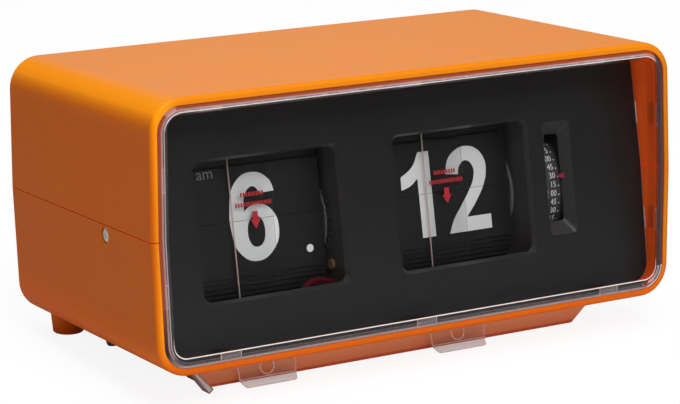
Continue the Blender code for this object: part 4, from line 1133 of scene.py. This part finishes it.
def leafPack(face):
    wide = (face["x"] - drumShape["packHalf"], face["x"] + drumShape["packHalf"])
    half = drumShape["packLeaf"] / 2
    ring = drumShape["ringR"] - 0.6
    axisBack, axisUp = stance["axisBack"], stance["axisUp"]
    parts = []

    def fan(count, first, sweep, lean):
        for k in range(count):
            part = k / count
            angle = first + part * sweep
            foot = Vector((0, axisBack - ring * math.cos(angle), axisUp + ring * math.sin(angle)))
            leaf = soften(brick(wide, (0.0, leafShape["high"] + 0.6), (-half, half)), 0.06, 1)
            leaf.transform(Matrix.Translation(foot) @ Matrix.Rotation(lean * (1 - part), 4, "X"))
            parts.append(leaf)

    upper = face["leaves"] // 2
    firstUp, leanUp = (math.radians(angle) for angle in drumShape["fanUp"])
    firstDown, leanDown = (math.radians(angle) for angle in drumShape["fanDown"])
    fan(upper, firstUp, math.pi - firstUp, leanUp)
    fan(face["leaves"] - upper, firstDown, -(math.pi + firstDown), leanDown)
    for k in range(drumShape["fallen"]):
        front = axisBack - drumShape["ringR"] + k * drumShape["stack"]
        foot = leafShape["split"] - leafShape["high"] - (k + 1) * drumShape["drop"]
        leaf = brick(wide, (front, front + drumShape["stack"] - 0.12), (foot, axisUp - 1))
        parts.append(soften(leaf, 0.1, 2))
    return gather(*parts)


def buildLeaves():
    front, ink = leafShape["front"], leafShape["ink"]
    fallen = 2 * leafShape["hinge"] - front - leafShape["thick"]
    for name, face in drumFaces.items():
        flipBody = f"{name}_leaf"
        for part, above, body in (("flip", True, flipBody), ("lower", False, "case")):
            node, plate = f"{name}_{part}_leaf", leafPlate(face["x"], above)
            makePiece(f"{name}_{part}_plate", plate, faceSpace, "leaf", body, [node])
        for part, body, digits in (
            ("upper", flipBody, inkOn(face["now"], True, front)),
            ("lower", "case", inkOn(face["now"], False, front)),
            ("reverse", flipBody, turnedOver(inkOn(face["next"], False, fallen))),
            ("next", "case", inkOn(face["next"], True, leafShape["nextFront"])),
        ):
            makePiece(f"{name}_{part}_ink", digits, faceSpace, "print", body)
        node = f"{name}_leaf_pack"
        makePiece(f"{name}_leaves", leafPack(face), faceSpace, "leaf", "case", [node])
    x, z = leafShape["am"]["at"]
    mark = textMesh("am", leafShape["am"]["size"], ink)
    bmesh.ops.translate(mark, vec=(x, front - ink / 2, z), verts=mark.verts)
    makePiece("morning_mark", mark, faceSpace, "dimPrint", "hour_leaf")
    dot = barrel("Y", leafShape["dot"]["at"], leafShape["dot"]["r"], (front - ink, front), 32)
    makePiece("hour_dot", dot, faceSpace, "print", "case")


def teethOn(x, wide, pitchR, teeth, module):
    tip, root = pitchR + drumShape["toothTip"] * module, pitchR - drumShape["toothRoot"] * module
    step = 2 * math.pi / teeth
    half = drumShape["toothHalf"] * step * root
    parts = []
    for k in range(teeth):
        tooth = brick((x, x + wide), (-half, half), (root - 0.4, tip))
        tops = [vert for vert in tooth.verts if vert.co.z > root]
        bmesh.ops.scale(tooth, vec=(1, drumShape["toothTaper"], 1), verts=tops)
        tooth.transform(Matrix.Translation((0, axisY, axisZ)) @ Matrix.Rotation(k * step, 4, "X"))
        parts.append(tooth)
    return parts


def drumBody(x, toothedEnd, teeth, module):
    low, high, disc = x - drumShape["half"], x + drumShape["half"], drumShape["disc"]
    pitchR = teeth * module / 2
    rims = {-1: drumShape["discR"], 1: drumShape["discR"]}
    rims[toothedEnd] = pitchR - drumShape["toothRoot"] * module
    bore, hub = drumShape["bore"], drumShape["hubR"]
    roll, lip = drumShape["roll"], drumShape["lip"]
    profile = [
        (low, bore), (low, rims[-1] - roll), (low + roll, rims[-1]), (low + disc - lip, rims[-1]),
        (low + disc - roll, rims[-1]), (low + disc, rims[-1] - roll), (low + disc, hub),
        (high - disc, hub), (high - disc, rims[1] - roll), (high - disc + roll, rims[1]),
        (high - disc + lip, rims[1]), (high - roll, rims[1]), (high, rims[1] - roll), (high, bore),
    ]
    # the teeth leave the disc's inner edge smooth and bright; the teeth and the disc's outer part are painted
    # in the darker wall colour, a painted shade that hides the teeth
    start = low + 0.1 if toothedEnd < 0 else high - disc + lip
    teethParts = teethOn(start, disc - lip - 0.1, pitchR, teeth, module)
    body = gather(lathe(profile, (axisY, axisZ), 96), *teethParts)
    reach = drumShape["half"] - disc + lip
    return paint(body, 1, lambda face: (faceMid(face).x - x) * toothedEnd > reach)


def buildDrums():
    for name in ("minute", "hour"):
        face, tint = drumFaces[name], ["drum", "wallPaintedLightAndShade"]
        drum, body = drumBody(face["x"], *face["gear"]), f"{name}_train"
        makePiece(f"{name}_drum_body", drum, caseSpace, tint, body, [f"{name}_drum"])


buildLeaves()
buildDrums()
print("leaves and drums done")


# Alarm dial, its numerals and the two set knobs

dialShape = {
    "x": (57.6, 66.6),
    "r": 23.2,
    "wall": 1.6,
    "roll": 0.4,
    "sleeve": 4.0,
    "bore": 2.0,
    "start": 2.0,
    "end": 105.0,
    "marks": 48,
    "first": 44.2,
    "numberX": 62.1,
    "numberSize": 2.9,
    "hourX": 58.5,
    "hourSize": 3.8,
    "narrow": 0.86,
    "tickX": (64.0, 64.5),
    "tickZ": (-0.75, -0.4),
}
knobShapes = {
    "alarm": {"x": (100.8, 105.8), "r": 12.0, "flutes": 30, "deep": 0.7, "hole": (4.1, (99.8, 106.8), 48)},
    "time": {"x": (106.2, 110.8), "r": 7.0, "flutes": 20, "deep": 0.6, "hole": (1.6, (105.2, 109.1), 32)},
}
knobEnd = {"rim": 0.6, "slope": 0.8, "sink": 0.5, "round": 0.3}


def buildDial():
    x0, x1 = dialShape["x"]
    r, wall, sleeve, roll = dialShape["r"], dialShape["wall"], dialShape["sleeve"], dialShape["roll"]
    start, end, bore = x0 + dialShape["start"], dialShape["end"], dialShape["bore"]
    inner = r - wall
    profile = [
        (x0, inner), (x0, r - roll), (x0 + roll, r), (x1 - roll, r), (x1, r - roll), (x1, sleeve),
        (end, sleeve), (end, bore), (start, bore), (start, sleeve), (x1 - wall, sleeve), (x1 - wall, inner),
    ]
    dial = lathe(profile, (axisY, axisZ), 120)
    makePiece("dial_ring", dial, caseSpace, "dial", "alarm_setter", ["alarm_dial"])
    parts = []
    step = 2 * math.pi / dialShape["marks"]
    lift = math.asin((dialShape["first"] - stance["axisUp"]) / r)
    ink = leafShape["ink"]
    centre = Matrix.Translation((0, stance["axisBack"], stance["axisUp"]))
    for k in range(dialShape["marks"]):
        minutes = (2 + k) % 4
        place = centre @ Matrix.Rotation(-(lift + k * step), 4, "X")
        words = [(f"{minutes * 15:02d}", dialShape["numberSize"], dialShape["numberX"])]
        if minutes == 0:
            words.append((str((k + 2) // 4 % 12 or 12), dialShape["hourSize"], dialShape["hourX"]))
        for word, size, x in words:
            part = textMesh(word, size, ink)
            bmesh.ops.scale(part, vec=(dialShape["narrow"], 1, 1), verts=part.verts)
            bmesh.ops.translate(part, vec=(x, -r - ink / 2, 0), verts=part.verts)
            part.transform(place)
            parts.append(part)
        tick = brick(dialShape["tickX"], (-r - ink, -r), dialShape["tickZ"])
        tick.transform(place)
        parts.append(tick)
    makePiece("dial_numerals", gather(*parts), faceSpace, "print", "alarm_setter")


def flutedKnob(knob):
    start, end = knob["x"]
    bm = bmesh.new()
    bmesh.ops.create_circle(bm, cap_ends=True, segments=4 * knob["flutes"], radius=knob["r"])
    for at, vert in enumerate(bm.verts):
        if at % 4 in (0, 1):
            vert.co *= 1 - knob["deep"] / knob["r"]
    bm.transform(Matrix.Translation((start, axisY, axisZ)) @ Matrix.Rotation(math.pi / 2, 4, "Y"))
    pull(bm, right * (end - start))

    def cap():
        return [face for face in bm.faces if face.normal.x > 0.9 and face.calc_area() > 20]

    def endEdge(edge):
        return edge.calc_face_angle(0.0) > 1.2 and min(vert.co.x for vert in edge.verts) > end - 0.01

    for inset in (knobEnd["rim"], knobEnd["slope"]):
        bmesh.ops.inset_region(bm, faces=cap(), thickness=inset, depth=0.0)
    sunk = list({vert for face in cap() for vert in face.verts})
    bmesh.ops.translate(bm, vec=(-knobEnd["sink"], 0, 0), verts=sunk)
    soften(bm, knobEnd["round"], 2, endEdge)
    radius, span, steps = knob["hole"]
    return cut(bm, barrel("X", (axisY, axisZ), radius, span, steps))


def buildKnobs():
    for key, name, body in (
        ("alarm", "alarm_ring_knob", "alarm_setter"),
        ("time", "time_cap_knob", "minute_train"),
    ):
        knob = flutedKnob(knobShapes[key])
        makePiece(name, knob, caseSpace, "knob", body, [f"{key}_set_knob"])


buildDial()
buildKnobs()
print("dial and knobs done")


# Transport films with their pull tabs, and the clear strip under the front left corner

filmShape = {
    "back": 10.3,
    "thick": 0.3,
    "top": 68.0,
    "half": 7.65,
    "tabTop": 0.9,
    "shoulder": 1.2,
    "tabHalf": 11.3,
    "bendHalf": 10.6,
    "bend": -8.0,
    "fold": 0.35,
    "angle": math.radians(50),
    "flap": 3.4,
    "flapHalf": 9.4,
    "holeR": 2.3,
    "holeUp": 3.3,
    "edge": 0.42,
    "line": 0.36,
    "ink": 0.03,
    "arrow": {"shaft": 1.0, "head": 1.9, "neck": 0.55},
    "block": {"share": 0.66, "high": 1.4},
}
# arrow: x, top and tip; bars: two ends, height and number of blocks
filmPrint = {
    "hour": {"arrow": (-51.2, 46.2, 40.4), "bars": [(-56.2, -47.4, 51.9, 9), (-58.3, -44.7, 48.7, 14)]},
    "minute": {"arrow": (22.6, 44.9, 39.5), "bars": [(17.9, 26.7, 50.3, 9), (15.8, 29.4, 47.2, 14)]},
}


def filmSheet(x, tint):
    span = (filmShape["back"], filmShape["back"] + filmShape["thick"])
    half, top, tabTop, bend = filmShape["half"], filmShape["top"], filmShape["tabTop"], filmShape["bend"]
    nearEdge, foldEnd = x - half + filmShape["edge"], bend - filmShape["fold"]
    outline = [
        (half, top), (half, tabTop), (filmShape["tabHalf"], tabTop - filmShape["shoulder"]),
        (filmShape["bendHalf"], bend), (filmShape["flapHalf"], bend - filmShape["flap"]),
    ]
    points = [(x + u, v) for u, v in outline] + [(x - u, v) for u, v in reversed(outline)]
    sheet = slab(points, "Y", span, {2: 1.0, 7: 1.0, 4: 0.8, 5: 0.8}, 5)
    hole = barrel("Y", (x, bend + filmShape["holeUp"]), filmShape["holeR"], (span[0] - 1, span[1] + 1), 40)
    sheet = cut(sheet, hole)
    for u in (nearEdge, x + half - filmShape["edge"] * 0.6):
        sliced(sheet, (u, 0, 0), right)
    for v in (tabTop, bend, foldEnd):
        sliced(sheet, (0, 0, v), up)
    for face in sheet.faces:
        at, isFlat = faceMid(face), abs(face.normal.y) > 0.9
        look = "film" if isFlat else "filmEdgePaintedReflection"
        if isFlat and at.z < tabTop - 0.01:
            look = "flap" if at.z < foldEnd + 0.01 else "tab"
        elif isFlat and at.z > tabTop and at.x < nearEdge:
            look = "filmEdgePaintedReflection"
        elif face.normal.x > 0.5 and at.z > tabTop:
            look = "filmFar"
        face.material_index = tint.index(look)
    # painted highlight lines round the tab, its hole and its flap
    line = {"thickness": filmShape["line"], "use_boundary": True, "use_even_offset": True}
    for low, high in ((bend, tabTop), (-math.inf, foldEnd + 0.01)):
        region = [face for face in sheet.faces if face.normal.y < -0.9 and low < faceMid(face).z < high]
        for face in bmesh.ops.inset_region(sheet, faces=region, **line)["faces"]:
            face.material_index = tint.index("tabPaintedHighlight")
    # the flap bends in two steps
    hinge = Vector((0, span[0], bend))
    for depth, share in ((bend - 1e-3, 0.55), (foldEnd - 0.01, 0.45)):
        flap = [vert for vert in sheet.verts if vert.co.z < depth]
        turn = Matrix.Rotation(-filmShape["angle"] * share, 3, "X")
        bmesh.ops.rotate(sheet, cent=hinge, matrix=turn, verts=flap)
    return sheet


def buildFilm(name):
    tint = ["film", "filmEdgePaintedReflection", "tab", "tabPaintedHighlight", "flap", "filmFar"]
    sheet, body = filmSheet(caseShape["filmX"][name], tint), f"{name}_transport_film"
    makePiece(f"{name}_film_sheet", sheet, faceSpace, tint, body, [f"{name}_film"])
    mark, arrow, block = filmPrint[name], filmShape["arrow"], filmShape["block"]
    ink = (filmShape["back"] - filmShape["ink"], filmShape["back"] - 0.002)
    x, high, low = mark["arrow"]
    shaft, head, neck = arrow["shaft"], arrow["head"], low + (high - low) * arrow["neck"]
    points = [
        (x - shaft, high), (x + shaft, high), (x + shaft, neck), (x + head, neck), (x, low),
        (x - head, neck), (x - shaft, neck),
    ]
    parts = [slab(points, "Y", ink)]
    # rows of plain blocks over the arrow
    for x0, x1, z, count in mark["bars"]:
        step = (x1 - x0) / count
        for at in range(count):
            middle = (x0 + (at + 0.5) * step, z)
            parts.append(slab(boxPoints(middle, step * block["share"], block["high"]), "Y", ink))
    makePiece(f"{name}_film_print", gather(*parts), faceSpace, "redPrint", body)


stripShape = {
    "points": [(-83.9, 0.0), (-82.3, 0.0), (-73.9, -9.4), (-75.6, -10.9)],
    "y": (12.0, 16.5),
    "round": 0.5,
    "border": 0.4,
}
bumperShape = {"at": (-88.0, 57.0), "low": 1.7, "high": 2.4, "z": (-2.6, -0.4), "round": 0.35}


def buildClearStrip():
    strip = slab(stripShape["points"], "Y", stripShape["y"], {at: stripShape["round"] for at in (2, 3)}, 4)
    soften(strip, 0.2, 2, lambda edge: edge.calc_length() > 1)
    paint(strip, 1)
    front = [face for face in strip.faces if face.normal.y < -0.95]
    bmesh.ops.inset_region(strip, faces=front, thickness=stripShape["border"], use_even_offset=True)
    paint(strip, 0, lambda face: face in front)
    tint = ["strip", "stripSidePaintedShade"]
    makePiece("corner_strip", strip, caseSpace, tint, "case", ["clear_strip"])
    nub = barrel("Z", bumperShape["at"], bumperShape["low"], bumperShape["z"], 40, bumperShape["high"])
    soften(nub, bumperShape["round"], 3, lambda edge: max(vert.co.z for vert in edge.verts) < -2)
    makePiece("bumper_nub", nub, caseSpace, "rubber", "case", ["rubber_bumper"])


for filmName in caseShape["filmX"]:
    buildFilm(filmName)
buildClearStrip()
print("films done")


# Back: battery, its door and the alarm switch

cellShape = {"y": 91.5, "z": 18.3, "r": 12.6, "x": (0.6, 46.6), "nubR": 3.6, "nub": 1.9}
gripShape = {"rows": 3, "half": 9.0, "below": 5.0, "step": 2.4, "high": 1.1, "deep": 0.5}  # in the door
switchShape = {
    "x": (67.0, 72.0),
    "front": 104.9,
    "sunk": 0.3,
    "z": (63.2, 66.8),
    "grooves": ((68.2, 69.0), (70.0, 70.8)),
    "grooveZ": (62.0, 68.0),
    "grooveDeep": 0.9,
}


def buildBack():
    door, depth = caseShape["door"], caseShape["depth"]
    hatch = brick(door["x"], (depth - door["thick"], depth), door["z"])
    middle = sum(door["x"]) / 2
    gripX = (middle - gripShape["half"], middle + gripShape["half"])
    for row in range(gripShape["rows"]):
        low = door["z"][1] - gripShape["below"] - row * gripShape["step"]
        groove = brick(gripX, (depth - gripShape["deep"], depth + 1), (low, low + gripShape["high"]))
        hatch = cut(hatch, groove)
    soften(hatch, 0.15, 2, lambda edge: min(vert.co.y for vert in edge.verts) > depth - 0.01)
    makePiece("door_hatch", hatch, caseSpace, "orange", "door", ["battery_door"])

    x0, x1 = cellShape["x"]
    r, nubR = cellShape["r"], cellShape["nubR"]
    nubEnd = x1 + cellShape["nub"]
    profile = [
        (x0, 0.0), (x0, r - 1.2), (x0 + 0.4, r - 0.3), (x0 + 0.8, r), (x1 - 0.8, r),
        (x1 - 0.3, r - 0.4), (x1, r - 1.2), (x1 - 0.3, r - 2.5), (x1 - 0.3, nubR),
        (nubEnd - 0.3, nubR), (nubEnd, nubR - 0.5), (nubEnd, 0.0),
    ]
    cell = lathe(profile, (cellShape["y"], cellShape["z"]), 64)
    paint(cell, 1, lambda face: not x0 + 0.3 <= faceMid(face).x <= x1 - 0.6)
    makePiece("cell_can", cell, caseSpace, ["cell", "steel"], "case", ["battery"])

    slider = brick(switchShape["x"], (switchShape["front"], depth - switchShape["sunk"]), switchShape["z"])
    for x in switchShape["grooves"]:
        groove = brick(x, (depth - switchShape["grooveDeep"], depth), switchShape["grooveZ"])
        slider = cut(slider, groove)
    soften(slider, 0.2, 2, lambda edge: min(vert.co.y for vert in edge.verts) > depth - 0.4)
    node = "alarm_switch_slider"
    makePiece("switch_thumb", slider, caseSpace, "knob", "alarm_switch", [node])


buildBack()
print("back done")


# Everything else keeps its CAD shape, merged and evenly shaded

plainLooks = {"hour_leaf_catch": "leaf", "minute_leaf_catch": "leaf", "front_screw": "dullBrass"}
slotOf = {row["node"]: row["material_slot"] for row in frame["record"]["subparts"]}
bodyOf = {node: body for body, nodes in frame["record"]["behaviour"]["bodies"].items() for node in nodes}
for node, cad in frame["nodes"].items():
    if cad.hide_render:
        continue
    bm = bmesh.new()
    bm.from_mesh(cad.data)
    bmesh.ops.remove_doubles(bm, verts=bm.verts, dist=1e-6)
    bmesh.ops.dissolve_limit(bm, angle_limit=math.radians(0.2), verts=bm.verts, edges=bm.edges)
    look = plainLooks.get(node, slotLooks[slotOf[node]])
    makePiece(f"{node}_part", bm, Matrix(), look, bodyOf[node], [node], 40)
print("inside parts done")


# Floor, world and light

stageShape = {
    "half": 3.0,
    "floor": 0.82,
    "glow": 0.9,  # share of plain white in what the camera sees of the floor; the rest keeps the shadow
    "world": 0.24,
    "sheen": 0.15,
    "mirror": 0.3,  # how much of the floor's colour is left in reflections
    "lamps": {
        "front": {"at": (-0.15, -1.03, 1.23), "size": 0.9, "power": 15.5},
        "fill": {"at": (0.0, -1.6, 0.14), "size": 0.8, "power": 3.0},
        "strip": {"at": (0.88, -1.33, 0.90), "size": 0.8, "high": 0.15, "power": 3.0},
        "above": {"at": (-0.25, 0.0, 1.77), "size": 1.3, "power": 16.5},
        "behind": {"at": (0.85, 1.65, 0.75), "size": 1.3, "power": 2.6},
    },
}


def buildFloor():
    bm = bmesh.new()
    bmesh.ops.create_grid(bm, x_segments=1, y_segments=1, size=stageShape["half"])
    floor = newObject("studioFloor", newMesh("studioFloor", bm))
    look = Look("studioFloor")
    glossy = look.add("ShaderNodeLightPath", output="Is Glossy Ray")
    seen = look.add("ShaderNodeLightPath", output="Is Camera Ray")
    shade = seen * (1.0 - stageShape["floor"]) + stageShape["floor"]
    shade = shade * (1.0 - glossy * (1.0 - stageShape["mirror"]))
    grey = look.add("ShaderNodeCombineColor", Red=shade, Green=shade, Blue=shade)
    look.set(Base_Color=grey, Roughness=look.noise(20.0) * 0.05 + 0.85)
    white = look.add("ShaderNodeEmission", Strength=1.0)
    floor.data.materials.append(look.show(look.blendShader(seen * stageShape["glow"], look.surface, white)))


def buildLight():
    world = bpy.data.worlds.new("studio")
    bpy.context.scene.world = world
    sky = NodeSet(world, "Background")
    plain, sheen = stageShape["world"], stageShape["sheen"]
    seen, through, glossy = (
        sky.add("ShaderNodeLightPath", output=f"Is {ray} Ray") for ray in ("Camera", "Transmission", "Glossy")
    )
    strength = seen * (1.0 - plain) + plain + through * (1.0 - plain) + glossy * (sheen - plain)
    sky.set(Color=(1.0, 1.0, 1.0, 1.0), Strength=strength)
    target = Vector((0, 0, 0.05))
    for name, lamp in stageShape["lamps"].items():
        data = bpy.data.lights.new(name, "AREA")
        data.shape = "RECTANGLE" if "high" in lamp else "DISK"
        data.size = lamp["size"]
        data.size_y = lamp.get("high", lamp["size"])
        data.energy = lamp["power"]
        obj = newObject(name, data)
        obj.location = lamp["at"]
        obj.rotation_euler = (target - obj.location).to_track_quat("-Z", "Y").to_euler()


buildFloor()
buildLight()
print("scene done")
